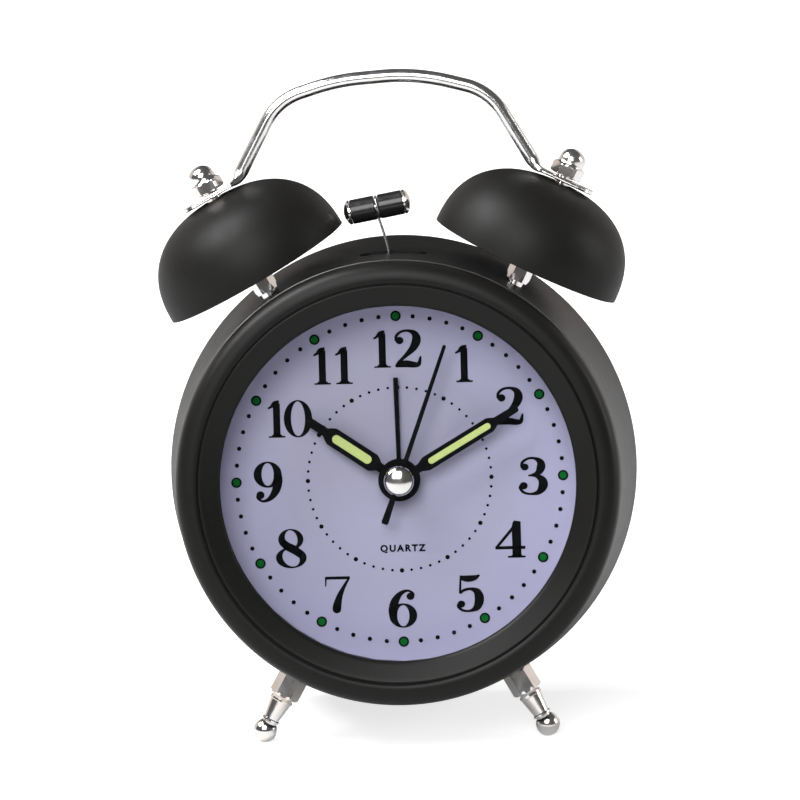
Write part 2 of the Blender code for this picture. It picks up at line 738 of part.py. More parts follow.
def add_housing(stance):
    rear = BACK_WALL + HOUSING_WALL
    bay_top = BAY_HIGH + 1.05
    front = block(
        -HOUSING_HALF, HOUSING_HALF, PLATE_REAR + GAP, rear, HOUSING_BOTTOM, HOUSING_TOP
    )
    housing = add_piece("movement_housing", front, "white_plastic", stance)
    bay = block(-HOUSING_HALF, HOUSING_HALF, BAY_FRONT, HOUSING_REAR, HOUSING_BOTTOM, bay_top)
    web = block(-1.5, 1.5, 20, HOUSING_REAR, SCREWS_AT[2][1], HOUSING_BOTTOM + 0.5)
    joined = [bay, web, cylinder(0.6, 4.1, rear - 0.5, 10, centre=MOTION_AT)]
    joined += [cylinder(BOSS_RADIUS, rear - 0.6, HOUSING_REAR, 14, centre=c) for c in SCREWS_AT[:2]]
    joined.append(cylinder(BOSS_RADIUS - 0.2, 20, HOUSING_REAR, 14, centre=SCREWS_AT[2]))
    low, high = HOUSING_BOTTOM + HOUSING_WALL, HOUSING_TOP - HOUSING_WALL
    wheels = block(-BAY_HALF, BAY_HALF, 0, BAY_FRONT, low, high)
    deep = block(-BAY_HALF, BAY_HALF, BAY_FRONT - 1, BACK_WALL, bay_top + HOUSING_WALL, high)
    cell = block(-BAY_HALF, BAY_HALF, BAY_FLOOR, HOUSING_REAR + 1, BAY_LOW, BAY_HIGH)
    post = joined.pop(2)
    for mesh in joined:
        combine(housing, mesh, "UNION")
    for mesh in (wheels, deep, cell):
        combine(housing, mesh, "DIFFERENCE")
    combine(housing, post, "UNION")
    for centre in (SET_AT, ALARM_AT):
        hole = cylinder(SHAFT_RADIUS + RUNNING, BACK_WALL - 1, rear + 1, 16, centre=centre)
        combine(housing, hole, "DIFFERENCE")
    for centre in SCREWS_AT:
        hole = cylinder(SCREW_RADIUS + GAP, 21, HOUSING_REAR + 1, 10, centre=centre)
        combine(housing, hole, "DIFFERENCE")
    cover = rectangle(-HOUSING_HALF, HOUSING_HALF, HOUSING_BOTTOM, HOUSING_TOP)
    hole = circle(PIPES[2][1] + GAP, SMALL)
    add_piece(
        "movement_front_plate",
        plate(cover, [hole], PLATE_FRONT, PLATE_REAR),
        "white_plastic",
        stance,
    )


def add_battery(stance):
    right = BAY_HALF - GAP
    contact = 0.4
    tip = right - contact - GAP
    left = tip - CELL_LENGTH
    cell = [(0, left), (CELL_RADIUS, left), (CELL_RADIUS, tip - CELL_NUB)]
    cell += [(2.75, tip - CELL_NUB), (2.75, tip), (0, tip)]
    at = (0, CELL_Y, CELL_Z)
    add_piece("battery_cell", turned(cell, 24, "X"), "cell", stance, at)
    pad = rectangle(-4, 4, -4, 4)
    pad = skin([(pad, right - contact), (pad, right)], "X")
    add_piece("battery_plate_contact", pad, "steel", stance, at)

    wire, coils = 0.3, 3
    start, end = -right + wire, left - GAP - wire
    curve = bpy.data.curves.new("spring", "CURVE")
    curve.dimensions = "3D"
    curve.bevel_depth = wire * MM
    curve.bevel_resolution = 1
    curve.use_fill_caps = True
    spline = curve.splines.new("POLY")
    count = 11 * coils
    spline.points.add(count)
    for k, point in enumerate(spline.points):
        share = k / count
        a = 2 * math.pi * coils * share
        radius = 4.8 - 2.9 * share
        x = start + (end - start) * share
        point.co = (x * MM, radius * math.cos(a) * MM, radius * math.sin(a) * MM, 1)
    curve.materials.append(add_material("battery_spring_contact_finish", "steel"))
    add_object("battery_spring_contact", curve, stance, at)


def add_electronics(stance):
    """Board, crystal, coil and stator, in front of the battery bay's wall."""
    board_rear = BAY_FRONT - GAP
    board_front = board_rear - 1.0
    board = block(-25, -4, board_front, board_rear, -26, -13)
    add_piece("circuit_board", board, "board", stance)
    crystal = cylinder(1.0, -13, -7, 12, "X", (board_front - GAP - 1.0, -20))
    add_piece("quartz_crystal", crystal, "steel", stance)

    left, right, leg = 5.9, 23.0, 3.0
    coil_z, winding = -17.8, 2.5
    coil_y = BAY_FRONT - GAP - winding
    core_rear = coil_y + 0.5
    tab = rectangle(coil_y - 0.5, core_rear, coil_z - 1.5, coil_z + 1.5)
    wound = circle(winding, 18, (coil_y, coil_z))
    steps = [(tab, left, left + leg + 0.7), (wound, left + leg + 0.7, right - leg - 0.7)]
    steps.append((tab, right - leg - 0.7, right))
    add_piece("coil", skin(arbor_rings(steps), "X"), "copper", stance)
    low, yoke, top = coil_z - 2, -10.6, -3.0
    outline = [(left, low), (left + leg, low), (left + leg, yoke), (right - leg, yoke)]
    outline += [(right - leg, low), (right, low), (right, top), (left, top)]
    hole = circle(2.3, SMALL, ROTOR_AT)
    stator = plate(outline, [hole], core_rear + GAP, core_rear + GAP + 1.0)
    add_piece("stator", stator, "steel", stance)


def add_train(stance):
    """Rotor to centre wheel: 30 turns of the rotor to one of the seconds wheel, and 60 turns of
    that to one of the centre wheel."""
    rear = BACK_WALL - GAP
    arbor = circle(ARBOR, 10)
    seconds = arbor_rings(
        [
            (arbor, -5.1, 9.0),
            (gear(PINION, TRAIN_MODULE), 9.0, 10.1),
            (arbor, 10.1, 11.0),
            (gear(SECONDS_TEETH, TRAIN_MODULE), 11.0, 11.8),
            (arbor, 11.8, rear),
        ]
    )
    add_piece("seconds_wheel", skin(seconds), "brass", stance)

    step_turn = in_mesh(CENTRE, 0.0, SECONDS_TEETH, STEP_AT, PINION)
    step = arbor_rings(
        [
            (arbor, 10.2, 10.6),
            (gear(PINION, TRAIN_MODULE, step_turn), 10.6, 12.2),
            (arbor, 12.2, 12.8),
            (gear(STEP_TEETH, TRAIN_MODULE), 12.8, 13.5),
            (arbor, 13.5, rear),
        ]
    )
    add_piece("step_wheel", skin(step), "brass", stance, (STEP_AT[0], 0, STEP_AT[1]))

    rotor_turn = in_mesh(STEP_AT, 0.0, STEP_TEETH, ROTOR_AT, PINION)
    rotor = arbor_rings(
        [
            (circle(1.8, 16), 9.6, 12.2),
            (arbor, 12.2, 12.6),
            (gear(PINION, TRAIN_MODULE, rotor_turn), 12.6, 13.8),
            (arbor, 13.8, rear),
        ]
    )
    add_piece("rotor", skin(rotor), "steel", stance, (ROTOR_AT[0], 0, ROTOR_AT[1]))

    third_turn = in_mesh(CENTRE, 0.0, PINION, THIRD_AT, THIRD_TEETH)
    third = arbor_rings(
        [
            (arbor, 6.9, 7.2),
            (gear(PINION, TRAIN_MODULE), 7.2, 8.6),
            (arbor, 8.6, 9.2),
            (gear(THIRD_TEETH, TRAIN_MODULE, third_turn), 9.2, 9.9),
            (arbor, 9.9, rear),
        ]
    )
    add_piece("third_wheel", skin(third), "brass", stance, (THIRD_AT[0], 0, THIRD_AT[1]))

    # the centre wheel shares the third wheel's distance, so its module follows from it
    module = 2 * mesh_distance(PINION, THIRD_TEETH, TRAIN_MODULE) / (PINION + CENTRE_TEETH)
    centre_turn = in_mesh(THIRD_AT, 0.0, PINION, CENTRE, CENTRE_TEETH)
    hub, bore = circle(1.6, SMALL), circle(PIPES[0][0], SMALL)
    centre = [(bore, 7.2), (hub, 7.2), (hub, 7.5)]
    centre += arbor_rings([(gear(CENTRE_TEETH, module, centre_turn), 7.5, 8.2)])
    centre += [(hub, 8.2), (hub, 8.6), (bore, 8.6)]
    add_piece("centre_wheel", skin(centre, closed=True), "brass", stance)


def add_pipe_wheel(name, stance, finish, pipe_index, tip, teeth, module, turn, front, rear):
    """A wheel on a pipe that carries a hand."""
    inner, outer = (circle(r, SMALL) for r in PIPES[pipe_index])
    rings = [(inner, tip), (outer, tip), (outer, front)]
    rings += arbor_rings([(gear(teeth, module, turn), front, rear)])
    rings.append((inner, rear))
    add_piece(name, skin(rings, closed=True), finish, stance)


def add_motion_work(stance):
    """Cannon pinion, motion wheel, hour wheel and alarm wheel, with the two setting shafts."""
    brass, plastic = "brass", "white_plastic"
    add_pipe_wheel(
        "cannon_pinion", stance, brass, 0, -3.8, CANNON_TEETH, MOTION_MODULE, 0.0, 5.8, 6.9
    )
    reach = mesh_distance(CANNON_TEETH, MOTION_TEETH, MOTION_MODULE)
    hour_module = 2 * reach / (MOTION_PINION + HOUR_TEETH)
    motion_turn = in_mesh(CENTRE, 0.0, CANNON_TEETH, MOTION_AT, MOTION_TEETH)
    bore = circle(0.6 + RUNNING, 12)
    motion = [(bore, 4.2), *arbor_rings([(gear(MOTION_PINION, hour_module), 4.2, 6.0)])]
    motion += arbor_rings([(gear(MOTION_TEETH, MOTION_MODULE, motion_turn), 6.0, 6.8)])
    motion.append((bore, 6.8))
    mesh = skin(motion, closed=True)
    add_piece("motion_wheel", mesh, plastic, stance, (MOTION_AT[0], 0, MOTION_AT[1]))

    hour_turn = in_mesh(MOTION_AT, 0.0, MOTION_PINION, CENTRE, HOUR_TEETH)
    add_pipe_wheel(
        "hour_wheel", stance, plastic, 1, -2.6, HOUR_TEETH, hour_module, hour_turn, 4.4, 5.2
    )
    add_pipe_wheel(
        "alarm_wheel", stance, plastic, 2, -1.4, ALARM_TEETH, alarm_module(), 0.0, 3.0, 3.8
    )

    shaft, end = circle(SHAFT_RADIUS, 14), COVER_REAR + GAP + KNOB_LENGTH - 1.6
    front = PLATE_REAR + GAP
    set_turn = in_mesh(MOTION_AT, motion_turn, MOTION_TEETH, SET_AT, SETTING_TEETH)
    setting = gear(SETTING_TEETH, MOTION_MODULE, set_turn)
    rings = arbor_rings([(shaft, front, 5.8), (setting, 5.8, 7.0), (shaft, 7.0, end)])
    add_piece("time_set_shaft", skin(rings), "steel", stance, (KNOB_X, 0, KNOB_Z))
    alarm_turn = in_mesh(CENTRE, 0.0, ALARM_TEETH, ALARM_AT, ALARM_PINION)
    setting = gear(ALARM_PINION, alarm_module(), alarm_turn)
    rings = arbor_rings([(shaft, front, 2.9), (setting, 2.9, 3.9), (shaft, 3.9, end)])
    add_piece("alarm_set_shaft", skin(rings), "steel", stance, (-KNOB_X, 0, KNOB_Z))


def alarm_module():
    """The alarm wheel and its setting pinion fill the distance to the knob."""
    return 2 * KNOB_REACH / (ALARM_TEETH + ALARM_PINION)


def add_hand(name, stance, hub, arm, tail, pipe_radius, y, degrees):
    outline = hand_outline(hub, arm, tail)
    hole = circle(pipe_radius + RUNNING, SMALL)
    mesh = plate(outline, [hole], y, y + HAND_THICKNESS)
    add_piece(name, mesh, "hand_black", stance, turn=(0, degrees, 0))


def add_hands(stance):
    tip = 0.25
    hour = [(0.8, HUB), (0.8, 5.8), (1.5, 6.8), (1.5, 16.0), (0.9, 17.2), (tip, HOUR_LENGTH)]
    minute = [(0.8, HUB), (0.8, 4.6), (1.3, 5.4), (1.3, 20.6), (0.8, 21.6), (tip, MINUTE_LENGTH)]
    second = [(0.55, 2.6), (0.25, SECOND_LENGTH)]
    second_tail = [(0.6, 2.6), (0.75, SECOND_TAIL)]
    alarm = [(0.5, HUB), (0.45, ALARM_LENGTH)]
    step = -1.2
    add_hand("alarm_hand", stance, HUB, alarm, (), PIPES[2][1], -1.3, ALARM_ANGLE)
    add_hand("hour_hand", stance, HUB, hour, (), PIPES[1][1], -1.3 + step, HOUR_ANGLE)
    add_hand("minute_hand", stance, HUB, minute, (), PIPES[0][1], -1.3 + 2 * step, MINUTE_ANGLE)
    add_hand("second_hand", stance, 2.6, second, second_tail, ARBOR, -4.6, SECOND_ANGLE)
    bore, back = ARBOR + RUNNING, -4.6 - GAP
    cap = [(0, back - 0.5), (bore, back - 0.5), (bore, back), (2.8, back), (2.8, back - 0.4)]
    cap += [(2.3, back - 1.1), (1.3, back - 1.6), (0, back - 1.75)]
    add_piece("hand_cap", turned(cap, SMALL), "chrome", stance)


# ---------------------------------------------------------------- hammer


def add_hammer(stance):
    pivot = {"parent": stance, "at": (0, HEAD_Y, PIVOT_Z), "turn": (0, -HAMMER_TILT, 0)}
    half, outer = LEVER_THICKNESS / 2, FORK_HALF + PRONG
    tail = PIVOT_Z - CRANK_Z + 2.7
    right = [(1.0, 4.0), (2.4, 1.5), (2.4, -1.5), (outer, -4.0), (outer, -tail)]
    right += [(FORK_HALF, -tail), (FORK_HALF, -5.2)]
    outline = right + [(-x, z) for x, z in reversed(right)]
    pin_hole = circle(1.0 + RUNNING, 16)
    add_piece("hammer_lever", plate(outline, [pin_hole], -half, half), "steel", **pivot)

    rod, loop = 1.2, 1.2 + GAP + HAMMER_WIRE
    straight = cylinder(HAMMER_WIRE, 4.0 + GAP, HAMMER_ARM - loop, 6, "Z")
    wire = add_piece("hammer_wire", straight, "steel", **pivot)
    section = circle(HAMMER_WIRE, 6)
    ring = turned([(loop + u, v) for u, v in section], 14, "X", closed=True)
    tip = Vector((0, 0, HAMMER_ARM))
    tip.rotate(wire.rotation_euler)
    centre = Vector((0, HEAD_Y, PIVOT_Z)) + tip
    combine(wire, ring, "UNION", centre, (0, -HAMMER_TILT, 0))

    place = {"parent": stance, "at": centre, "turn": (0, -HAMMER_TILT, 0)}
    radius, flange = HAMMER_RADIUS, HAMMER_HALF - 1.35
    end = [(rod, flange), (radius, flange), (radius, flange + 0.3)]
    end += [(radius * 0.87, flange + 0.85), (radius * 0.5, flange + 1.2), (0, HAMMER_HALF)]
    profile = [(r, -h) for r, h in reversed(end)] + end
    add_piece("hammer_rod", turned(profile, 16, "X"), "chrome", **place)
    near, far = HAMMER_WIRE + GAP, flange - GAP
    for side, word in ((-1, "left"), (1, "right")):
        low, high = sorted((side * near, side * far))
        sleeve = pipe(rod + GAP, radius, low, high, 16, "X")
        add_piece("hammer_sleeve_" + word, sleeve, "black_plastic", **place)


def add_alarm_drive(stance):
    """Bracket with the hammer's pivot and the crank's axle, the motor and its two wheels."""
    front = HEAD_Y + 3.7
    rear = front + 1.0
    lever_rear = HEAD_Y + LEVER_THICKNESS / 2
    outline = rectangle(-7, 14, HOUSING_TOP + GAP, PIVOT_Z + 3.5)
    hole = circle(1.3, 14, MOTOR_AT)
    mesh = plate(outline, [hole], front, rear)
    bracket = add_piece("hammer_bracket", mesh, "steel", stance)
    pivot = [(1.8, front + 0.5), (1.8, lever_rear + GAP), (1.0, lever_rear + GAP)]
    pivot.append((1.0, HEAD_Y - LEVER_THICKNESS / 2 - 0.7))
    combine(bracket, turned(pivot, 14), "UNION", (0, 0, PIVOT_Z))
    wheel_front, wheel_rear = HEAD_Y + 1.5, HEAD_Y + 2.9
    axle = [(1.3, front + 0.5), (1.3, wheel_rear + GAP), (0.7, wheel_rear + GAP)]
    axle.append((0.7, wheel_front + 0.4 + GAP))
    combine(bracket, turned(axle, 12), "UNION", (0, 0, CRANK_Z))

    crank = gear(CRANK_TEETH, DRIVE_MODULE)
    bore = circle(0.7 + RUNNING, 12)
    pin = circle(CRANK_PIN, 10, (0, CRANK_THROW))
    rings = [([(0, 0)], wheel_front + 0.4), (bore, wheel_front + 0.4), (bore, wheel_rear)]
    rings += arbor_rings([(crank, wheel_rear, wheel_front)])
    rings += arbor_rings([(pin, wheel_front, HEAD_Y - LEVER_THICKNESS / 2 - 0.2)])
    add_piece("crank_wheel", skin(rings), "white_plastic", stance, (0, 0, CRANK_Z))

    x, z = MOTOR_AT
    face = rear + GAP
    turn = in_mesh(CRANK_AT, 0.0, CRANK_TEETH, MOTOR_AT, MOTOR_TEETH)
    teeth = gear(MOTOR_TEETH, DRIVE_MODULE, turn)
    rings = arbor_rings(
        [(teeth, wheel_front - 0.2, wheel_rear + 0.2), (circle(0.5, 10), wheel_rear + 0.2, face + 1.5)]
    )
    add_piece("motor_pinion", skin(rings), "brass", stance, (x, 0, z))
    motor = [(0, face + 2.0), (0.5 + RUNNING, face + 2.0), (0.5 + RUNNING, face)]
    motor += [(MOTOR_RADIUS, face), (MOTOR_RADIUS, face + MOTOR_LENGTH)]
    motor += [(2.0, face + MOTOR_LENGTH), (2.0, face + MOTOR_LENGTH + 1), (0, face + MOTOR_LENGTH + 1)]
    add_piece("bell_motor", turned(motor, 20), "steel", stance, (x, 0, z))


# ---------------------------------------------------------------- back


def add_back(stance):
    stem, slot_half = 2.0, 2.0 + SWITCH_TRAVEL / 2 + SLIDE
    door = rectangle(-BAY_HALF + 0.6, BAY_HALF - 0.6, BAY_LOW, BAY_HIGH)
    slot = rectangle(SWITCH_X - slot_half, SWITCH_X + slot_half, SWITCH_Z - 1.8, SWITCH_Z + 1.8)
    holes = [door, slot]
    holes += [circle(SHAFT_RADIUS + GAP, 16, c) for c in (SET_AT, ALARM_AT)]
    holes += [circle(SCREW_RADIUS + GAP, 12, c) for c in SCREWS_AT]
    cover = plate(circle(LIP_RADIUS - GAP, ROUND), holes, COVER_FRONT, COVER_REAR)
    cover = add_piece("back_cover", cover, "black_plastic", stance)
    x, z, half_x, half_z = LABEL_PANEL
    panel = block(x - half_x, x + half_x, COVER_FRONT + 0.5, PANEL_REAR, z - half_z, z + half_z)
    combine(cover, panel, "UNION", parent=stance)

    lid = rectangle(
        -BAY_HALF + 0.6 + SLIDE, BAY_HALF - 0.6 - SLIDE, BAY_LOW + SLIDE, BAY_HIGH - SLIDE
    )
    grip = rectangle(-5, 5, BAY_HIGH - 3.2, BAY_HIGH - 2.0)
    rings = [(lid, COVER_FRONT), (lid, COVER_REAR), (grip, COVER_REAR + 0.001), (grip, COVER_REAR + 0.6)]
    add_piece("battery_door", skin(rings), "black_plastic", stance)

    x = SWITCH_X - SWITCH_TRAVEL / 2
    inner = rectangle(x - 6, x + 6, SWITCH_Z - 3, SWITCH_Z + 3)
    neck = rectangle(x - stem, x + stem, SWITCH_Z - 1.5, SWITCH_Z + 1.5)
    pad = rectangle(x - 3, x + 3, SWITCH_Z - 2.4, SWITCH_Z + 2.4)
    inside = COVER_FRONT - GAP
    outside = COVER_REAR + GAP
    rings = [(inner, inside - 1.0), (inner, inside), (neck, inside + 0.001)]
    rings += [(neck, outside), (pad, outside + 0.001), (pad, outside + 1.4)]
    add_piece("alarm_switch", skin(rings), "black_plastic", stance)

    for number, (x, z) in enumerate(SCREWS_AT, 1):
        seat = COVER_REAR + GAP
        screw = [(0, 22), (SCREW_RADIUS, 22), (SCREW_RADIUS, seat), (SCREW_HEAD, seat)]
        screw += [(SCREW_HEAD, seat + 0.6), (SCREW_HEAD * 0.6, seat + 1.1), (0, seat + 1.1)]
        add_piece(f"back_screw_{number}", turned(screw, 12), "steel", stance, (x, 0, z))

    for name, x in (("time_set_knob", KNOB_X), ("alarm_set_knob", -KNOB_X)):
        front = COVER_REAR + GAP
        rear = front + KNOB_LENGTH
        floor, bore = rear - 1.3, circle(SHAFT_RADIUS + GAP, 14)
        grip = [circle(KNOB_RADIUS * (1.0 if k % 2 else 0.93), 24)[k] for k in range(24)]
        rings = [([(0, 0)], floor), (bore, floor), (bore, front), (grip, front), (grip, rear)]
        add_piece(name, skin(rings), "black_plastic", stance, (x, 0, KNOB_Z))


# ---------------------------------------------------------------- assembly


def stand_on_floor(stance):
    """Moves the clock so that the middle of its box's underside is the origin."""
    bpy.context.view_layer.update()
    graph = bpy.context.evaluated_depsgraph_get()
    low, high = Vector((1e9,) * 3), Vector((-1e9,) * 3)
    for obj in bpy.data.objects:
        if obj.type == "EMPTY" or obj.hide_render:
            continue
        evaluated = obj.evaluated_get(graph)
        for vertex in evaluated.to_mesh().vertices:
            point = evaluated.matrix_world @ vertex.co
            low = Vector(map(min, low, point))
            high = Vector(map(max, high, point))
        evaluated.to_mesh_clear()
    middle = (low + high) / 2
    stance.location = (-middle.x, -middle.y, -low.z)


def build():
    clear_scene()
    stance = add_empty("stance", turn=(-lean_angle(), 0, 0))
    head = add_empty("head", stance, (0, -HEAD_SKEW, 0))
    add_case(stance, head)
    add_front(stance)
    add_head(head)
    add_feet(stance)
    add_housing(stance)
    add_battery(stance)
    add_electronics(stance)
    add_train(stance)
    add_motion_work(stance)
    add_hands(stance)
    add_hammer(stance)
    add_alarm_drive(stance)
    add_back(stance)
    stand_on_floor(stance)


build()
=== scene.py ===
import json
import math

import bmesh
import bpy
import numpy as np
from mathutils import Matrix


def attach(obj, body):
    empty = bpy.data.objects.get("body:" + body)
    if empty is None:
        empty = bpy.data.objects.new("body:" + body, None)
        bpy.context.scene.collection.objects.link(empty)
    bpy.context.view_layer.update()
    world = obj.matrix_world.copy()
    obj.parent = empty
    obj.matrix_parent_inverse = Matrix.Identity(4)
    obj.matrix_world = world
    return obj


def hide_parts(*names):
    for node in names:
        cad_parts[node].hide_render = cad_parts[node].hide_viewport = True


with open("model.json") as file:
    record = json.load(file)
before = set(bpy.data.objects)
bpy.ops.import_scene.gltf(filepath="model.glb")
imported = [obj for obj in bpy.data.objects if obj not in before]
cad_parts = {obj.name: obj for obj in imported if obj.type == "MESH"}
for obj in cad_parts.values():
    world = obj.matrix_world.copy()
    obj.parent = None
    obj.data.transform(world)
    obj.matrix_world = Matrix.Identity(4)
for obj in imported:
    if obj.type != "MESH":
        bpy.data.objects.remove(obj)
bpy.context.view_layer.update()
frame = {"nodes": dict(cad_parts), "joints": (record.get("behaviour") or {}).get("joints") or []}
print("frame loaded")

# Lengths are in millimetres in the clock's own frame: X to the right, Y into the clock, Z up the
# dial, with the origin where the case's axis meets the front of the dial. inWorld turns them into
# metres on the floor, leaning back as the clock stands.
joints = {joint["name"]: joint for joint in frame["joints"]}
rearward = np.array(joints["second_hand_spin"]["axis"], float)
rearward /= np.linalg.norm(rearward)
dialUp = np.cross([1.0, 0.0, 0.0], rearward)
clockAxes = np.array([[1.0, 0.0, 0.0], rearward, dialUp])
dialCentre = np.array(joints["second_hand_spin"]["pos_m"]) + 0.0045 * rearward


def inWorld(points):
    return dialCentre + 0.001 * (np.asarray(points, float) @ clockAxes)


def unit(vector):
    return np.asarray(vector, float) / np.linalg.norm(vector)


# Shapes as arrays


def eased(points, ease, steps=4, closed=False):
    # each corner becomes a quadratic curve that starts and ends "ease" away from it, or nearly
    # halfway along a shorter side
    points = np.asarray(points, float)
    before, after = np.roll(points, 1, axis=0) - points, np.roll(points, -1, axis=0) - points
    reach = [np.minimum(ease, 0.45 * np.linalg.norm(s, axis=1)) for s in (before, after)]
    length = [np.maximum(np.linalg.norm(s, axis=1), 1e-9) for s in (before, after)]
    start = points + before * (reach[0] / length[0])[:, None]
    end = points + after * (reach[1] / length[1])[:, None]
    t = np.linspace(0, 1, steps)[None, :, None]
    curve = (1 - t) ** 2 * start[:, None] + 2 * t * (1 - t) * points[:, None] + t**2 * end[:, None]
    if closed:
        return curve.reshape(-1, 2)
    return np.vstack([points[:1], curve[1:-1].reshape(-1, 2), points[-1:]])


def smoothPath(points, steps=10):
    # Catmull-Rom curve through the points: a cubic between each two, whose slope at a point is
    # half the step between its neighbours
    p = np.asarray(points, float)
    p = np.vstack([2 * p[0] - p[1], p, 2 * p[-1] - p[-2]])
    a, b, c, d = p[:-3, None], p[1:-2, None], p[2:-1, None], p[3:, None]
    t = np.linspace(0, 1, steps, endpoint=False)[None, :, None]
    curve = 0.5 * (2 * b + (c - a) * t + (2 * a - 5 * b + 4 * c - d) * t**2
                   + (3 * b - a - 3 * c + d) * t**3)
    return np.vstack([curve.reshape(-1, p.shape[1]), p[-2:-1]])


def turned(profile, origin, direction, count=96, shape=None):
    # a point (radius, height) goes round the axis, to origin + height * axis + radius * (cos t,
    # sin t), and shape may change the radius with the height and the angle
    profile = np.asarray(profile, float)
    axis = unit(direction)
    side = unit(np.cross([0, 1, 0], axis)) if abs(axis[1]) < 0.9 else np.array([1.0, 0, 0])
    other = np.cross(axis, side)
    t = np.linspace(0, 2 * np.pi, count, endpoint=False)[None, :]
    r, h = profile[:, :1] + 0 * t, profile[:, 1:] + 0 * t
    if shape is not None:
        r = shape(r, h, t)
    sideways = np.cos(t)[..., None] * side + np.sin(t)[..., None] * other
    return np.asarray(origin, float) + h[..., None] * axis + r[..., None] * sideways


def gridFaces(rows, columns, wrapRows, wrapColumns):
    i = np.arange(rows if wrapRows else rows - 1)[:, None]
    j = np.arange(columns if wrapColumns else columns - 1)[None, :]
    nextI, nextJ = (i + 1) % rows, (j + 1) % columns
    corners = [i * columns + j, i * columns + nextJ, nextI * columns + nextJ, nextI * columns + j]
    return np.stack([c + 0 * (i + j) for c in corners], axis=-1).reshape(-1, 4)


def gridPart(grid, wrapRows=False, wrapColumns=True):
    # points and faces of a grid; a row round the piece that ends it is closed by a fan
    rows, columns = grid.shape[:2]
    points = grid.reshape(-1, 3)
    faces = gridFaces(rows, columns, wrapRows, wrapColumns).tolist()
    if wrapColumns and not wrapRows:
        j = np.arange(columns)
        for row, base in ((grid[0], 0), (grid[-1], (rows - 1) * columns)):
            points = np.vstack([points, row.mean(axis=0)])
            tip = np.full(columns, len(points) - 1)
            faces += np.stack([base + j, base + (j + 1) % columns, tip], axis=-1).tolist()
    return points, faces


def plateParts(outline, low, high, holes=()):
    # outline points in X and Z, one copy at each depth, with straight sides between them
    loops = [np.asarray(outline, float), *[np.asarray(hole, float) for hole in holes]]
    bm = bmesh.new()
    rings = []
    for depth in (low, high):
        edges, ring = [], []
        for loop in loops:
            corners = [bm.verts.new((x, depth, z)) for x, z in loop]
            edges += [bm.edges.new((a, b)) for a, b in zip(corners, corners[1:] + corners[:1])]
            ring.append(corners)
        bmesh.ops.triangle_fill(bm, edges=edges, use_beauty=False)
        rings.append(ring)
    for below, above in zip(*rings):
        for k in range(len(below)):
            n = (k + 1) % len(below)
            bm.faces.new((below[k], below[n], above[n], above[k]))
    bmesh.ops.dissolve_limit(bm, angle_limit=0.01, verts=bm.verts, edges=bm.edges)
    bm.verts.index_update()
    points = np.array([v.co for v in bm.verts])
    faces = [[v.index for v in f.verts] for f in bm.faces]
    bm.free()
    return points, faces


def circle(radius, count=48, centre=(0, 0)):
    t = np.linspace(0, 2 * np.pi, count, endpoint=False)
    return np.stack([centre[0] + radius * np.cos(t), centre[1] + radius * np.sin(t)], axis=-1)


def capsule(length, width, count=12):
    t = np.linspace(-np.pi / 2, np.pi / 2, count)
    end = np.stack([width / 2 * np.cos(t) + (length - width) / 2, width / 2 * np.sin(t)], axis=-1)
    return np.vstack([end, -end])


def turnedOutline(outline, degrees):
    # clockwise as the dial is read
    a = math.radians(degrees)
    x, z = np.asarray(outline, float).T
    return np.stack([x * math.cos(a) + z * math.sin(a), z * math.cos(a) - x * math.sin(a)], axis=-1)


def together(parts):
    points, faces, start = [], [], 0
    for partPoints, partFaces in parts:
        points.append(partPoints)
        faces += [[start + k for k in face] for face in partFaces]
        start += len(partPoints)
    return np.vstack(points), faces


def addObject(name, data):
    obj = bpy.data.objects.new(name, data)
    bpy.context.scene.collection.objects.link(obj)
    return obj


def closedMesh(name, part):
    # a mesh in metres, with its seams joined and its faces turned outwards
    points, faces = part
    mesh = bpy.data.meshes.new(name)
    mesh.from_pydata(inWorld(points).tolist(), [], faces)
    bm = bmesh.new()
    bm.from_mesh(mesh)
    bmesh.ops.remove_doubles(bm, verts=bm.verts, dist=1e-7)
    bmesh.ops.recalc_face_normals(bm, faces=bm.faces)
    if bm.calc_volume(signed=True) < 0:
        bmesh.ops.reverse_faces(bm, faces=bm.faces)
    bm.to_mesh(mesh)
    bm.free()
    return mesh


def shadeSmooth(mesh, sharp):
    mesh.shade_smooth()
    mesh.set_sharp_from_angle(angle=math.radians(sharp))


def shapedMesh(obj):
    bpy.context.view_layer.update()
    shaped = obj.evaluated_get(bpy.context.evaluated_depsgraph_get())
    return bpy.data.meshes.new_from_object(shaped)


def pathNormals(line):
    along = np.gradient(line, axis=0)
    along /= np.linalg.norm(along, axis=1)[:, None]
    return np.stack([-along[:, 1], along[:, 0]], axis=-1)


def makePiece(name, part, material, body, node=None, sharp=32, bevel=0.0,
              flat=False):
    mesh = closedMesh(name, part)
    if not flat:
        shadeSmooth(mesh, sharp)
    mesh.materials.append(material)
    obj = addObject(name, mesh)
    if bevel:
        softEdge = obj.modifiers.new("softEdge", "BEVEL")
        softEdge.width, softEdge.segments = bevel * 0.001, 3
        softEdge.limit_method, softEdge.angle_limit = "ANGLE", math.radians(30)
        softEdge.harden_normals = False
    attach(obj, body)
    if node:
        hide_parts(node)
    return obj


def cutFrom(obj, cutters):
    # exact cuts, made once and then kept in the mesh
    tools = [addObject("tool", closedMesh("tool", part)) for part in cutters]
    for tool in tools:
        cut = obj.modifiers.new("cut", "BOOLEAN")
        cut.operation, cut.solver, cut.object = "DIFFERENCE", "EXACT", tool
    mesh = shapedMesh(obj)
    obj.modifiers.clear()
    obj.data = mesh
    shadeSmooth(mesh, 32)
    for tool in tools:
        bpy.data.objects.remove(tool)


# Finishes


def setInputs(node, **values):
    # a socket is linked in, and a plain value is set
    for key, value in values.items():
        entry = node.inputs[key.replace("_", " ")]
        if isinstance(value, bpy.types.NodeSocket):
            node.id_data.links.new(value, entry)
        else:
            entry.default_value = value


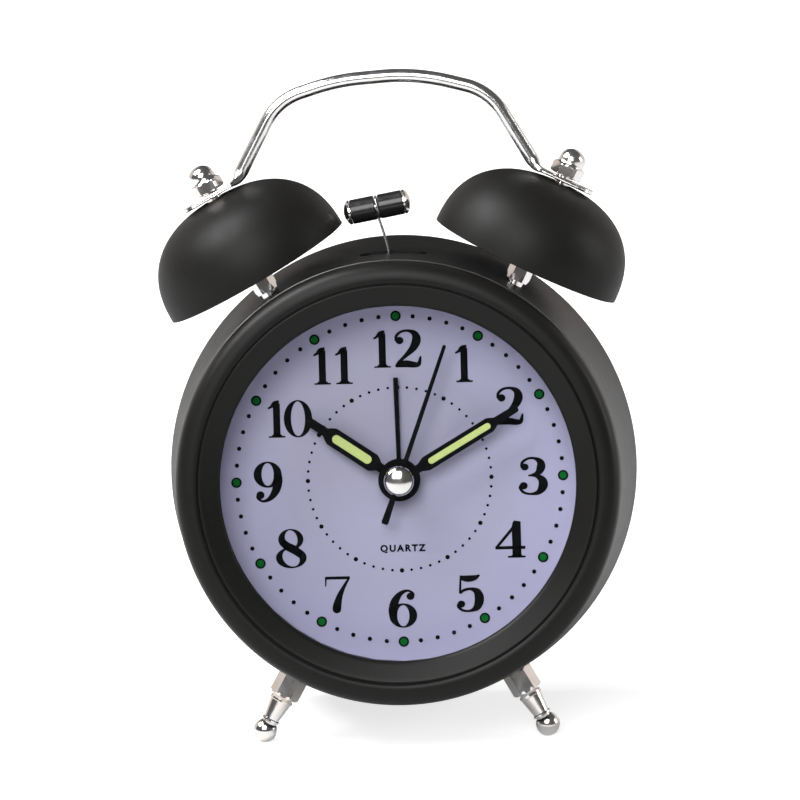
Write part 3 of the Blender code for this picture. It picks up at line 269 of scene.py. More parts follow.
def addNode(tree, kind, **values):
    node = tree.nodes.new("ShaderNode" + kind)
    setInputs(node, **values)
    return node


def newFinish(name):
    material = bpy.data.materials.new(name)
    material.use_nodes = True
    tree = material.node_tree
    where = addNode(tree, "TexCoord").outputs["Object"]
    return material, tree, tree.nodes["Principled BSDF"], where


def noise(tree, where, scale, detail=4.0, roughness=0.55, stretch=None):
    # scale is in features per metre; stretch slows the pattern along an axis
    if stretch is not None:
        where = addNode(tree, "Mapping", Vector=where, Scale=stretch).outputs["Vector"]
    node = addNode(tree, "TexNoise", Vector=where, Scale=scale, Detail=detail, Roughness=roughness)
    return node.outputs["Fac"]


def span(tree, value, low, high, fromLow=0.0, fromHigh=1.0):
    node = addNode(tree, "MapRange", Value=value, From_Min=fromLow, From_Max=fromHigh, To_Min=low,
                   To_Max=high)
    return node.outputs["Result"]


def combined(tree, operation, first, second):
    node = addNode(tree, "Math")
    node.operation = operation
    tree.links.new(first, node.inputs[0])
    tree.links.new(second, node.inputs[1])
    return node.outputs[0]


def distanceTo(tree, where, point):
    moved = addNode(tree, "Mapping", Vector=where, Location=tuple(-point))
    away = addNode(tree, "VectorMath")
    away.operation = "LENGTH"
    tree.links.new(moved.outputs["Vector"], away.inputs[0])
    return away.outputs["Value"]


def mixColours(tree, factor, first, second):
    node = addNode(tree, "Mix")
    node.data_type = "RGBA"
    setInputs(node, Factor=factor)
    for entry, colour in ((node.inputs[6], first), (node.inputs[7], second)):
        if isinstance(colour, tuple):
            entry.default_value = (*colour, 1)
        else:
            tree.links.new(colour, entry)
    return node.outputs[2]


def bump(tree, shader, height, depth, strength=1.0):
    node = addNode(tree, "Bump", Height=height, Distance=depth * 0.001, Strength=strength)
    setInputs(shader, Normal=node.outputs["Normal"])


def specks(tree, where, scale, size, chance):
    # small spots at the middle of some cells: near a cell's point, and only where its random
    # colour passes the chance
    cells = addNode(tree, "TexVoronoi", Vector=where, Scale=scale)
    near = span(tree, cells.outputs["Distance"], 1.0, 0.0, size * 0.5, size)
    pick = span(tree, cells.outputs["Color"], 0.0, 1.0, 1 - chance, 1 - chance + 0.01)
    return combined(tree, "MULTIPLY", near, pick)


lacquer = {"dark": (0.0052, 0.005, 0.0047), "light": (0.0085, 0.0081, 0.0076),
           "dust": (0.09, 0.09, 0.09), "smooth": 0.39, "rough": 0.43, "grain": 0.012}


def satinLacquer(name, look):
    material, tree, shader, where = newFinish(name)
    body = mixColours(tree, noise(tree, where, 60, 3), look["dark"], look["light"])
    dust = specks(tree, where, 620, 0.13, 0.045)
    handled = noise(tree, where, 420, 5, 0.65)
    setInputs(shader, Base_Color=mixColours(tree, dust, body, look["dust"]),
              Roughness=span(tree, handled, look["smooth"], look["rough"], 0.3, 0.7),
              Specular_IOR_Level=0.18)
    bump(tree, shader, noise(tree, where, 5200, 2, 0.5), look["grain"])
    return material


plating = {"cool": (0.88, 0.87, 0.87), "warm": (0.84, 0.775, 0.72), "smooth": 0.13, "rough": 0.24}


def chromePlate(name, look):
    material, tree, shader, where = newFinish(name)
    tint = span(tree, noise(tree, where, 190, 3), 0.0, 1.0, 0.42, 0.68)
    wipe = noise(tree, where, 500, 4, 0.6, (1, 1, 0.3))
    setInputs(shader, Base_Color=mixColours(tree, tint, look["cool"], look["warm"]),
              Roughness=span(tree, wipe, look["smooth"], look["rough"], 0.35, 0.75), Metallic=1.0)
    bump(tree, shader, noise(tree, where, 260, 2), 0.003, 0.15)
    return material


moulding = {"colour": (0.013, 0.013, 0.014), "smooth": 0.3, "rough": 0.5, "grain": 0.02}


def mouldedPlastic(name, look):
    material, tree, shader, where = newFinish(name)
    darker = tuple(0.8 * c for c in look["colour"])
    lighter = tuple(min(1.0, 1.12 * c) for c in look["colour"])
    worn = noise(tree, where, 400, 4)
    setInputs(shader, Base_Color=mixColours(tree, noise(tree, where, 90, 4), darker, lighter),
              Roughness=span(tree, worn, look["smooth"], look["rough"], 0.3, 0.7))
    bump(tree, shader, noise(tree, where, 2600, 3, 0.6), look["grain"])
    return material


def cutMetal(name, colour, smooth, rough):
    material, tree, shader, where = newFinish(name)
    lines = noise(tree, where, 900, 4, 0.6, (1, 1, 6))
    darker = tuple(0.72 * c for c in colour)
    setInputs(shader, Base_Color=mixColours(tree, lines, darker, colour),
              Roughness=span(tree, lines, smooth, rough, 0.3, 0.7), Metallic=1.0)
    bump(tree, shader, lines, 0.01, 0.5)
    return material


# the print is painted lighter towards the dial's edge, a painted fill against the ring's shadow
# there, and carries a painted shade, greyer, over its upper left
dialPaint = {"middle": (0.375, 0.37, 0.53), "edge": (0.45, 0.44, 0.66), "paintedShade": (0.36, 0.355, 0.47),
             "speck": (0.08, 0.08, 0.12), "paintedShadePlace": (-9, 0, 12)}


def dialSheet(name, look):
    material, tree, shader, where = newFinish(name)
    # painted fill: the print turns lighter towards the edge, standing in for light that offsets the
    # ring's shadow there
    rim = span(tree, distanceTo(tree, where, dialCentre), 0.0, 1.0, 0.020, 0.033)
    body = mixColours(tree, rim, look["middle"], look["edge"])
    # painted shade: a soft greyer patch over the dial's upper left, where the ring's shadow falls
    away = distanceTo(tree, where, inWorld(look["paintedShadePlace"]))
    body = mixColours(tree, span(tree, away, 0.8, 0.0, 0.002, 0.022), body, look["paintedShade"])
    dirt = specks(tree, where, 420, 0.09, 0.03)
    setInputs(shader, Base_Color=mixColours(tree, dirt, body, look["speck"]),
              Roughness=span(tree, noise(tree, where, 1500, 3), 0.5, 0.65))
    bump(tree, shader, noise(tree, where, 9000, 2), 0.004, 0.5)
    return material


def printedInk(name, colour, gloss):
    material, tree, shader, where = newFinish(name)
    lighter = tuple(min(1.0, 1.25 * c + 0.002) for c in colour)
    setInputs(shader, Base_Color=mixColours(tree, noise(tree, where, 2500, 4), colour, lighter),
              Roughness=span(tree, noise(tree, where, 1200, 3), gloss, gloss + 0.15),
              Specular_IOR_Level=0.03)
    bump(tree, shader, noise(tree, where, 7000, 2), 0.004, 0.5)
    return material


def clearLens(name):
    material, tree, shader, where = newFinish(name)
    setInputs(shader, Roughness=span(tree, noise(tree, where, 60, 2), 0.02, 0.05),
              Base_Color=(0.02, 0.022, 0.025, 1), Alpha=0.02, IOR=1.5)
    return material


def woundCopper(name):
    material, tree, shader, where = newFinish(name)
    bands = addNode(tree, "TexWave", Vector=where, Scale=900, Distortion=0.4)
    bands.bands_direction = "X"
    turns = bands.outputs["Fac"]
    setInputs(shader, Base_Color=mixColours(tree, turns, (0.3, 0.09, 0.03), (0.75, 0.3, 0.13)),
              Metallic=0.8, Roughness=0.3)
    bump(tree, shader, turns, 0.08)
    return material


def boardLaminate(name):
    material, tree, shader, where = newFinish(name)
    bricks = addNode(tree, "TexBrick", Vector=where, Scale=260, Mortar_Size=0.06,
                     Color1=(0.02, 0.15, 0.06, 1), Color2=(0.03, 0.2, 0.08, 1),
                     Mortar=(0.45, 0.4, 0.2, 1))
    setInputs(shader, Base_Color=bricks.outputs["Color"],
              Roughness=span(tree, noise(tree, where, 500), 0.3, 0.5))
    return material


def cellSleeve(name):
    # a metallic band at one end, along the cell
    material, tree, shader, where = newFinish(name)
    along = addNode(tree, "SeparateXYZ", Vector=where)
    band = span(tree, along.outputs["X"], 0.0, 1.0, 0.0118, 0.012)
    setInputs(shader, Base_Color=mixColours(tree, band, (0.03, 0.035, 0.045), (0.6, 0.33, 0.13)),
              Roughness=span(tree, noise(tree, where, 600), 0.22, 0.4), Metallic=0.4)
    return material


blackFinish = satinLacquer("satinBlackLacquer", lacquer)
bellFinish = satinLacquer("bellLacquer", {**lacquer, "smooth": 0.46, "rough": 0.51})
chromeFinish = chromePlate("chromePlate", plating)
wireFinish = chromePlate("brightWire", {**plating, "warm": (0.84, 0.82, 0.8)})
coverFinish = mouldedPlastic("mouldedBlack", moulding)
sleeveFinish = mouldedPlastic("sleeveBlack",
                              {**moulding, "smooth": 0.16, "rough": 0.3, "grain": 0.006})
movementFinish = mouldedPlastic("movementWhite", {**moulding, "colour": (0.62, 0.62, 0.58)})
wheelFinish = mouldedPlastic("wheelWhite", {**moulding, "colour": (0.7, 0.7, 0.66), "grain": 0.005})
brassFinish = cutMetal("cutBrass", (0.72, 0.5, 0.2), 0.22, 0.4)
steelFinish = cutMetal("plainSteel", (0.55, 0.55, 0.56), 0.22, 0.42)
# a lighter grey metal, a painted highlight for the bright line along the case's front edge
highlightRimFinish = cutMetal("paintedHighlightRim", (0.16, 0.155, 0.15), 0.35, 0.5)
dialFinish = dialSheet("lavenderPrint", dialPaint)
inkFinish = printedInk("blackInk", (0.003, 0.003, 0.004), 0.55)
greenFinish = printedInk("greenInk", (0.003, 0.125, 0.02), 0.5)
handFinish = printedInk("handBlack", (0.003, 0.003, 0.004), 0.42)
lumeFinish = printedInk("lumeFill", (0.47, 0.56, 0.21), 0.55)
lensFinish = clearLens("clearLens")
print("finishes made")

# CAD nodes that keep their shape

keptNodes = {
    movementFinish: ["movement_housing", "movement_front_plate"],
    wheelFinish: ["motion_wheel", "hour_wheel", "alarm_wheel", "crank_wheel"],
    brassFinish: ["seconds_wheel", "step_wheel", "third_wheel", "centre_wheel", "cannon_pinion",
                  "motor_pinion"],
    steelFinish: ["quartz_crystal", "stator", "rotor", "time_set_shaft", "alarm_set_shaft",
                  "hammer_lever", "hammer_bracket", "bell_motor", "battery_plate_contact",
                  "battery_spring_contact"],
    coverFinish: ["dial_ring"],
    dialFinish: ["dial"],
    woundCopper("copperWinding"): ["coil"],
    boardLaminate("greenLaminate"): ["circuit_board"],
    cellSleeve("cellSleeve"): ["battery_cell"],
}
for finish, names in keptNodes.items():
    for name in names:
        for materialSlot in frame["nodes"][name].material_slots:
            materialSlot.material = finish
print("movement finished")

# Case

case = {"frontRadius": 41.2, "radius": 44.4, "front": -7.4, "crest": 27.0, "rear": 31.4,
        "wall": 1.0, "roll": 2.6, "lipRadius": 40.6, "lipWidth": 1.0, "slotLength": 12.8,
        "slotWidth": 3.6, "slotX": -0.4, "slotBottom": 36.0, "slotDepth": 12, "studHole": 1.8,
        "holeReach": 5}
gap = 0.3  # between pieces that touch
headDepth = 8.5
footDepth = 3.0
skewAngle = math.radians(1.2)
bellTilt = math.radians(27.7)
bellAngle = math.radians(33.2)
footAngle = math.radians(29.5)


def caseRadius(y):
    # the case widens from the front as the 1.6 power of the depth
    share = np.clip((np.asarray(y, float) - case["front"]) / (case["crest"] - case["front"]), 0, 1)
    return case["frontRadius"] + (case["radius"] - case["frontRadius"]) * share**1.6


def skewed(points):
    # the head is turned a little about the case's axis
    x, y, z = np.moveaxis(np.asarray(points, float), -1, 0)
    c, s = math.cos(skewAngle), math.sin(skewAngle)
    return np.stack([x * c - z * s, y, x * s + z * c], axis=-1)


def postAxis(side):
    return np.array([side * math.sin(bellTilt), 0.0, math.cos(bellTilt)])


def postOut(side):
    return np.array([side * math.cos(bellTilt), 0.0, -math.sin(bellTilt)])


def postBase(side):
    r = float(caseRadius(headDepth))
    return np.array([side * r * math.sin(bellAngle), headDepth, r * math.cos(bellAngle)])


def footAxis(side):
    return np.array([side * math.sin(footAngle), 0, -math.cos(footAngle)])


def makeCase():
    y = np.linspace(case["front"], case["crest"], 36)
    quarter = np.linspace(0, np.pi / 2, 14)[1:]
    outside = [np.stack([caseRadius(y), y], axis=-1)]
    rearY = case["crest"] + (case["rear"] - case["crest"]) * np.sin(quarter)
    outside.append(np.stack([case["radius"] - case["roll"] * (1 - np.cos(quarter)), rearY],
                            axis=-1))
    lip = case["lipRadius"]
    middle = np.array([[lip + 0.15, case["rear"]], [lip, case["rear"] - 0.15],
                       [lip, case["rear"] - case["wall"]]])
    depth = case["rear"] - case["wall"] - case["crest"]
    drop = case["radius"] - case["wall"] - lip - case["lipWidth"]
    innerY = case["crest"] + depth * np.sin(quarter)
    innerR = case["radius"] - case["wall"] - drop * (1 - np.cos(quarter))
    innerRoll = np.stack([innerR, innerY], axis=-1)[::-1]
    inside = np.stack([caseRadius(y) - case["wall"], y], axis=-1)[::-1]
    front = np.array([[caseRadius(case["front"]) - 0.8, case["front"]]])
    profile = np.vstack([*outside, middle, innerRoll, inside[:-1], inside[-1:] + [0, 0.2], front])
    shell = turned(profile, (0, 0, 0), (0, 1, 0), 192)
    can = makePiece("caseCan", gridPart(shell, wrapRows=True), blackFinish, "clock", "case_can")
    slot = capsule(case["slotLength"], case["slotWidth"]) + [case["slotX"], headDepth]
    low = np.column_stack([slot, np.full(len(slot), case["slotBottom"])])
    cutters = [gridPart(np.stack([low, low + [0, 0, case["slotDepth"]]]))]
    hole = [(case["studHole"], end * case["holeReach"]) for end in (-1, 1)]
    for side in (-1, 1):
        grid = turned(hole, postBase(side), postAxis(side), 40)
        cutters.append(gridPart(skewed(grid)))
        start = footAxis(side) * float(caseRadius(footDepth)) + [0, footDepth, 0]
        cutters.append(gridPart(turned(hole, start, footAxis(side), 40)))
    cutFrom(can, cutters)


makeCase()

# front ring: a sloping inner band, one groove, then a broad rounded band
bezel = {"profile": [(33.1, -11.5), (33.5, -12.0), (36.5, -13.45), (37.0, -13.6), (37.25, -13.1),
                     (37.5, -13.6), (38.2, -13.75), (39.3, -13.6), (40.3, -13.1), (41.0, -12.3),
                     (41.4, -11.2), (41.5, -10.2), (41.5, -8.5), (41.1, -7.85), (39.9, -7.8),
                     (39.9, -4.4), (39.1, -4.4), (39.1, -10.0), (36.5, -10.0), (36.5, -10.9),
                     (33.1, -10.9)], "ease": 0.45}
ring = turned(eased(bezel["profile"], bezel["ease"], 5, True), (0, 0, 0), (0, 1, 0), 224)
makePiece("frontBezel", gridPart(ring, wrapRows=True), blackFinish, "clock", "front_bezel",
          sharp=60)

# the case's rolled front edge, a lighter metal ring where it meets the ring: a painted highlight
# standing in for the bright line along the rim
highlightRim = {"radius": 41.47, "depth": -7.95, "thick": 0.11}
rim = circle(highlightRim["thick"], 10, (highlightRim["radius"], highlightRim["depth"]))
edge = gridPart(turned(rim, (0, 0, 0), (0, 1, 0), 192), wrapRows=True)
makePiece("caseFrontEdge", edge, highlightRimFinish, "clock")

lens = {"radius": 36.2, "front": -10.6, "rear": -9.4}
pane = turned(eased([(0, lens["front"]), (lens["radius"], lens["front"]),
                     (lens["radius"], lens["rear"]), (0, lens["rear"])], 0.12),
              (0, 0, 0), (0, 1, 0), 128)
makePiece("dialLens", gridPart(pane), lensFinish, "clock", "lens", sharp=40)
print("case made")

# Dial print


# how far the front of an ink stands off the dial, and how far its back does
inkDepths = {"ink": (-0.035, 0.0), "paint": (-0.06, -0.03)}


def flatPart(edge, depths=inkDepths["ink"]):
    return gridPart(np.stack([np.insert(edge, 1, y, axis=1) for y in depths]))


def diskPart(radius, centre, depths=inkDepths["ink"], count=20):
    return flatPart(circle(radius, count, centre), depths)


def rectangle(x0, x1, z0, z1):
    return np.array([(x0, z0), (x1, z0), (x1, z1), (x0, z1)], float)


def barPart(*sides):
    return flatPart(rectangle(*sides))


def strokePart(points):
    # a ribbon along a smooth path of (x, z, half width): each side is the path moved along its
    # normal by the half width, with a copy behind it to close the ribbon
    path = smoothPath(points, 8)
    line, wide = path[:, :2], path[:, 2:] + numeral["bold"]
    normal = pathNormals(line)
    near, far = line + normal * wide, line - normal * wide
    front, rear = inkDepths["ink"]
    rows = [np.insert(side, 1, y, axis=1) for side, y in
            ((near, front), (far, front), (far, rear), (near, rear))]
    return gridPart(np.stack(rows, axis=1))


def ovalRing(outer, inner, count=56):
    # band between two ellipses, each given as (x, z, half width, half height, slope)
    t = np.linspace(0, 2 * np.pi, count, endpoint=False)
    front, rear = inkDepths["ink"]
    rows = []
    for (x, z, a, b, slope), y in ((outer, front), (inner, front), (inner, rear), (outer, rear)):
        px, pz = a * np.cos(t), b * np.sin(t)
        rows.append(np.stack([x + px + slope * pz, np.full(count, y), z + pz], axis=-1))
    return gridPart(np.stack(rows), wrapRows=True)


# Digits on a body ten high, heavy where a stroke runs down the digit and fine where it runs across
numeral = {"height": 6.95, "stem": 0.98, "bold": 0.07, "ball": 1.0,
           "widen": {"0": 1.02, "1": 0.97, "2": 1.1, "3": 1.1, "4": 1.16, "5": 1.1, "6": 1.09,
                     "7": 1.05, "8": 1.15, "9": 1.1}, "tall": {"8": 1.05, "9": 1.07}}
stem, ball = numeral["stem"], numeral["ball"]


def digitParts(digit):
    if digit == "0":
        return [ovalRing((0, 5, 3.75, 5.05, 0), (0, 5, 1.85, 4.65, 0))]
    if digit == "1":
        return [barPart(-stem, stem, 0.3, 9.3), barPart(-2.3, 2.3, 0, 0.45),
                strokePart([(-1.4, 0.35, 0.2), (-0.7, 0.6, 0.45), (0, 1.2, stem)]),
                strokePart([(1.4, 0.35, 0.2), (0.7, 0.6, 0.45), (0, 1.2, stem)]),
                strokePart([(-2.4, 7.9, 0.18), (-1.5, 8.35, 0.3), (-0.5, 9.2, 0.6),
                            (0.75, 9.9, 0.2)])]
    if digit == "2":
        return [strokePart([(-2.9, 7.1, 0.25), (-2.75, 8.5, 0.3), (-1.6, 9.6, 0.28),
                            (0.2, 9.85, 0.3), (1.75, 9.0, 0.75), (2.15, 7.3, 1.02),
                            (1.3, 5.2, 0.85), (-0.6, 3.1, 0.45), (-2.4, 1.3, 0.28),
                            (-3.0, 0.2, 0.24)]),
                diskPart(ball, (-2.0, 7.25)),
                strokePart([(-3.05, 0.25, 0.22), (-2.0, 0.95, 0.6), (-0.4, 0.95, 0.85),
                            (1.5, 0.65, 0.72), (2.6, 0.9, 0.5), (3.1, 2.9, 0.14)]),
                barPart(-3.1, 1.6, 0, 0.5)]
    if digit == "3":
        return [strokePart([(-2.85, 7.4, 0.25), (-2.55, 8.8, 0.3), (-1.2, 9.75, 0.25),
                            (0.4, 9.8, 0.3), (1.8, 8.8, 0.8), (1.95, 7.3, 1.0), (1.1, 5.8, 0.65),
                            (-0.5, 5.25, 0.22), (-1.2, 5.2, 0.2)]),
                diskPart(ball * 0.95, (-2.0, 7.5)),
                strokePart([(-0.6, 5.25, 0.2), (0.9, 5.0, 0.45), (2.2, 3.9, 0.95),
                            (2.35, 2.3, 1.08), (1.3, 0.7, 0.65), (-0.5, 0.2, 0.25),
                            (-2.3, 0.6, 0.28), (-3.2, 1.7, 0.3), (-3.25, 2.5, 0.2)]),
                diskPart(ball, (-2.4, 2.45))]
    if digit == "4":
        return [strokePart([(1.5, 0.2, stem), (1.5, 4.0, stem), (1.5, 8.4, stem),
                            (1.75, 9.9, 0.75)]),
                barPart(-0.6, 3.5, 0, 0.5),
                strokePart([(-3.25, 2.75, 0.26), (-0.9, 5.9, 0.28), (1.5, 9.2, 0.3)]),
                barPart(-3.5, 3.5, 2.3, 3.15),
                strokePart([(0.3, 0.4, 0.15), (0.9, 0.65, 0.4), (1.5, 1.3, stem)]),
                strokePart([(2.7, 0.4, 0.15), (2.1, 0.65, 0.4), (1.5, 1.3, stem)])]
    if digit == "5":
        return [strokePart([(-2.15, 9.9, 0.16), (-2.3, 7.4, 0.2), (-2.4, 5.0, 0.22)]),
                strokePart([(-2.2, 9.3, 0.5), (-0.6, 9.0, 0.8), (1.2, 9.2, 0.65),
                            (2.5, 9.9, 0.12)]),
                strokePart([(-2.4, 5.1, 0.22), (-1.4, 5.9, 0.3), (0.2, 6.2, 0.32), (1.8, 5.4, 0.85),
                            (2.3, 3.4, 1.08), (1.7, 1.3, 0.85), (0.1, 0.3, 0.3), (-1.7, 0.4, 0.26),
                            (-2.8, 1.3, 0.3), (-3.0, 2.2, 0.2)]),
                diskPart(ball * 0.95, (-2.15, 2.15))]
    if digit in "69":
        parts = [ovalRing((0.15, 3.15, 3.45, 3.3, 0), (0.15, 3.1, 1.5, 2.85, 0)),
                 strokePart([(-2.3, 3.2, 0.95), (-2.35, 4.9, 1.02), (-1.75, 7.2, 0.92),
                             (-0.4, 9.1, 0.55), (1.3, 9.85, 0.26), (2.5, 9.3, 0.24),
                             (2.95, 8.5, 0.2)]),
                 diskPart(ball, (2.05, 8.3))]
        if digit == "9":
            parts = [(points * [-1, 1, -1] + [0, 0, 10], faces) for points, faces in parts]
        return parts
    if digit == "7":
        return [barPart(-3.15, 3.2, 9.15, 9.95),
                strokePart([(-3.0, 9.6, 0.15), (-3.0, 8.4, 0.13), (-3.1, 7.3, 0.08)]),
                strokePart([(2.95, 9.4, 0.2), (1.6, 7.1, 0.38), (0.45, 4.6, 0.7), (-0.2, 2.2, 1.0),
                            (-0.35, 1.1, 1.05)]),
                diskPart(1.12, (-0.35, 1.08))]
    return [ovalRing((0, 7.35, 2.95, 2.7, 0), (0.1, 7.5, 1.45, 2.2, -0.12)),
            ovalRing((0, 2.6, 3.6, 2.7, 0), (-0.05, 2.55, 1.95, 2.2, -0.22)),
            strokePart([(-2.1, 7.0, 0.7), (-0.9, 5.6, 0.95), (0.8, 4.6, 1.0), (2.4, 3.2, 0.8)])]


# middle of each hour's number, in clock coordinates, and the step between its two digits
hourPlaces = {12: (-0.25, 24.4), 1: (12.6, 21.35), 2: (20.95, 13.2), 3: (25.0, -0.05),
              4: (20.4, -11.8), 5: (12.6, -21.8), 6: (-0.1, -24.4), 7: (-12.15, -21.5),
              8: (-20.7, -12.6), 9: (-24.6, 0.0), 10: (-20.75, 11.75), 11: (-11.9, 21.5)}
digitStep = {10: 4.0, 11: 4.1, 12: 4.8}


def makeNumerals():
    scale = numeral["height"] / 10
    parts = []
    for hour, (x, z) in hourPlaces.items():
        digits = str(hour)
        step = digitStep.get(hour, 0.0)
        for k, digit in enumerate(digits):
            shift = (k - (len(digits) - 1) / 2) * step
            wide, high = (scale * numeral[key].get(digit, 1.0) for key in ("widen", "tall"))
            for points, faces in digitParts(digit):
                placed = points * [wide, 1, high] + [x + shift, 0, z - 5 * high]
                parts.append((placed, faces))
    makePiece("dialNumerals", together(parts), inkFinish, "clock", sharp=30)


makeNumerals()

tracks = {"hourRadius": 30.6, "hourDot": 0.99, "hourPaint": 0.66, "minuteDot": 0.41,
          "innerRadius": 17.2, "innerDot": 0.26, "innerBold": 0.42}


def ringCentres(radius, onTheHour):
    minutes = np.array([m for m in range(60) if (m % 5 == 0) == onTheHour])
    a = np.radians(minutes * 6)
    return np.stack([radius * np.sin(a), radius * np.cos(a)], axis=-1)


dots = []
for track, dot, onTheHour, count in (("hourRadius", "minuteDot", False, 20),
                                     ("hourRadius", "hourDot", True, 32),
                                     ("innerRadius", "innerDot", False, 14),
                                     ("innerRadius", "innerBold", True, 20)):
    dots += [diskPart(tracks[dot], c, count=count) for c in ringCentres(tracks[track], onTheHour)]
makePiece("dialTrackDots", together(dots), inkFinish, "clock", sharp=30)
greens = [diskPart(tracks["hourPaint"], c, inkDepths["paint"], 32)
          for c in ringCentres(tracks["hourRadius"], True)]
makePiece("dialHourPaint", together(greens), greenFinish, "clock", sharp=30)

word = {"text": "QUARTZ", "height": 1.6, "centre": (0.3, -13.1), "spacing": 1.32, "weight": 0.045,
        "thick": 0.03}


def makeWord():
    curve = bpy.data.curves.new("word", "FONT")
    curve.body = word["text"]
    curve.size = 1.0
    curve.space_character = word["spacing"]
    curve.align_x = "CENTER"
    curve.offset = word["weight"]
    curve.resolution_u = 3
    holder = addObject("word", curve)
    mesh = shapedMesh(holder)
    bpy.data.objects.remove(holder)
    flat = np.empty(len(mesh.vertices) * 3)
    mesh.vertices.foreach_get("co", flat)
    flat = flat.reshape(-1, 3)
    scale = word["height"] / (flat[:, 1].max() - flat[:, 1].min())
    x = (flat[:, 0] - (flat[:, 0].max() + flat[:, 0].min()) / 2) * scale + word["centre"][0]
    z = (flat[:, 1] - flat[:, 1].mean()) * scale + word["centre"][1]
    points = np.stack([x, np.full(len(x), inkDepths["ink"][0]), z], axis=-1)
    faces = [list(p.vertices) for p in mesh.polygons]
    piece = makePiece("dialWord", (points, faces), inkFinish, "clock", flat=True)
    thick = piece.modifiers.new("printDepth", "SOLIDIFY")
    thick.thickness = 0.001 * word["thick"]
    thick.offset = 0.0


makeWord()
print("dial printed")

# Hands

hands = {
    "hour": {"node": "hour_hand", "body": "hours", "y": -2.5, "angle": 304.3, "hub": 3.9,
             "hole": 2.05, "arm": [(0.85, 4.6), (1.25, 5.1), (1.72, 5.9), (1.72, 15.0), (1.3, 15.8),
                                   (0.85, 16.4),
                     (0.82, 20.2), (0.45, 20.5)], "lume": (6.3, 14.8, 1.65)},
    "minute": {"node": "minute_hand", "body": "minutes", "y": -3.7, "angle": 59.7, "hub": 3.9,
               "hole": 1.35,
               "arm": [(0.8, 4.6), (1.1, 5.2), (1.4, 5.9), (1.4, 19.9), (1.1, 20.6), (0.75, 21.2),
                       (0.68, 25.7), (0.4, 26.0)], "lume": (6.5, 20.0, 1.2)},
    "alarm": {"node": "alarm_hand", "body": "alarm", "y": -1.3, "angle": 359.2, "hub": 3.9,
              "hole": 2.75, "arm": [(0.4, 5.0), (0.47, 18.9), (0.42, 19.1)], "lume": None},
    "second": {"node": "second_hand", "body": "seconds", "y": -4.6, "angle": 20.0, "hub": 2.6,
               "hole": 0.65, "arm": [(0.45, 4.0), (0.34, 26.5), (0.2, 26.8)],
               "tail": [(0.55, 4.0), (0.68, 8.2), (0.5, 8.6)], "lume": None},
}


def handOutline(look):
    # the hub's circle, broken where the arm leaves it and, on one hand, where the tail does
    hub, arm, tail = look["hub"], look["arm"], look.get("tail", [])
    up = math.asin(arm[0][0] / hub)
    down = math.asin(tail[0][0] / hub) if tail else 0.0
    side = np.linspace(up, math.pi - down, 26)
    right = np.stack([hub * np.sin(side), hub * np.cos(side)], axis=-1)
    armRight = np.array([(w, d) for w, d in reversed(arm)])
    tailRight = np.array([(w, -d) for w, d in tail]).reshape(-1, 2)
    half = np.vstack([armRight, right if tail else right[:-1], tailRight])
    middle = [] if tail else [[(0.0, -hub)]]
    return np.vstack([half, *middle, half[::-1] * [-1, 1]])


for key, look in hands.items():
    outline = turnedOutline(handOutline(look), look["angle"])
    plate = plateParts(outline, look["y"], look["y"] + 0.4, [circle(look["hole"], 40)])
    makePiece(key + "Hand", plate, handFinish, look["body"], look["node"], bevel=0.07)
    if look["lume"]:
        near, far, width = look["lume"]
        strip = capsule(far - near, width, 14)[:, ::-1] + [0, (near + far) / 2]
        outline = turnedOutline(strip, look["angle"])
        plate = plateParts(outline, look["y"] - 0.1, look["y"] + 0.02)
        makePiece(key + "HandLume", plate, lumeFinish, look["body"], bevel=0.05)

cap = {"radius": 2.85, "front": -6.65, "seat": -4.9, "bore": 0.65}
t = np.linspace(0, np.pi / 2, 18)
dome = np.stack([cap["radius"] * np.sin(t), cap["seat"] - 0.35 - (cap["seat"] - 0.35 - cap["front"])
                 * np.cos(t)], axis=-1)
profile = np.vstack([dome, [(cap["radius"], cap["seat"]), (cap["bore"], cap["seat"]),
                            (cap["bore"], cap["seat"] - 0.5), (0, cap["seat"] - 0.5)]])
makePiece("handCap", gridPart(turned(profile, (0, 0, 0), (0, 1, 0), 72)), wireFinish, "seconds",
          "hand_cap")
print("hands made")

# Bells, posts and nuts

# nod is how far each bell tips forwards about its crown, in degrees, left then right
bell = {"radius": 18.5, "height": 16.0, "wall": 0.9, "fullness": 2.4, "standoff": 4.7, "hole": 1.8,
        "nod": {-1: 4.0, 1: 2.2}, "lip": 0.08}
crown = bell["standoff"] + bell["height"]


def makeBell(side, word):
    # outside: radius * cos(t)^(2/n) and height * sin(t)^(2/n), the quarter of a superellipse
    t = np.linspace(0, np.pi / 2, 60)
    skins = []
    for inset in (0.0, bell["wall"]):
        r = (bell["radius"] - inset) * np.cos(t) ** (2 / bell["fullness"])
        h = (bell["height"] - inset) * np.sin(t) ** (2 / bell["fullness"])
        keep = r > bell["hole"] + 0.2
        arc = np.stack([r[keep], h[keep] + bell["standoff"]], axis=-1)
        edge = [(bell["hole"], bell["height"] - inset + bell["standoff"])]
        skins.append(np.vstack([arc, edge]))
    lip = [(bell["radius"] - inset, bell["standoff"] - bell["lip"]) for inset in (0.65, 0.25)]
    profile = np.vstack([skins[0], skins[1][::-1], lip])
    nod = math.radians(bell["nod"][side])
    tipped = math.cos(nod) * postAxis(side) + math.sin(nod) * np.array([0, -1.0, 0])
    base = postBase(side) + crown * postAxis(side) - crown * tipped
    grid = skewed(turned(profile, base, tipped, 160))
    makePiece("bell" + word, gridPart(grid, wrapRows=True), bellFinish, "clock",
              "bell_" + word.lower(), sharp=50)


hexMark = 999.0  # stands for the hexagon's radius in a profile


def hexRows(low, high, count):
    return [(hexMark, h) for h in np.linspace(low, high, count)]


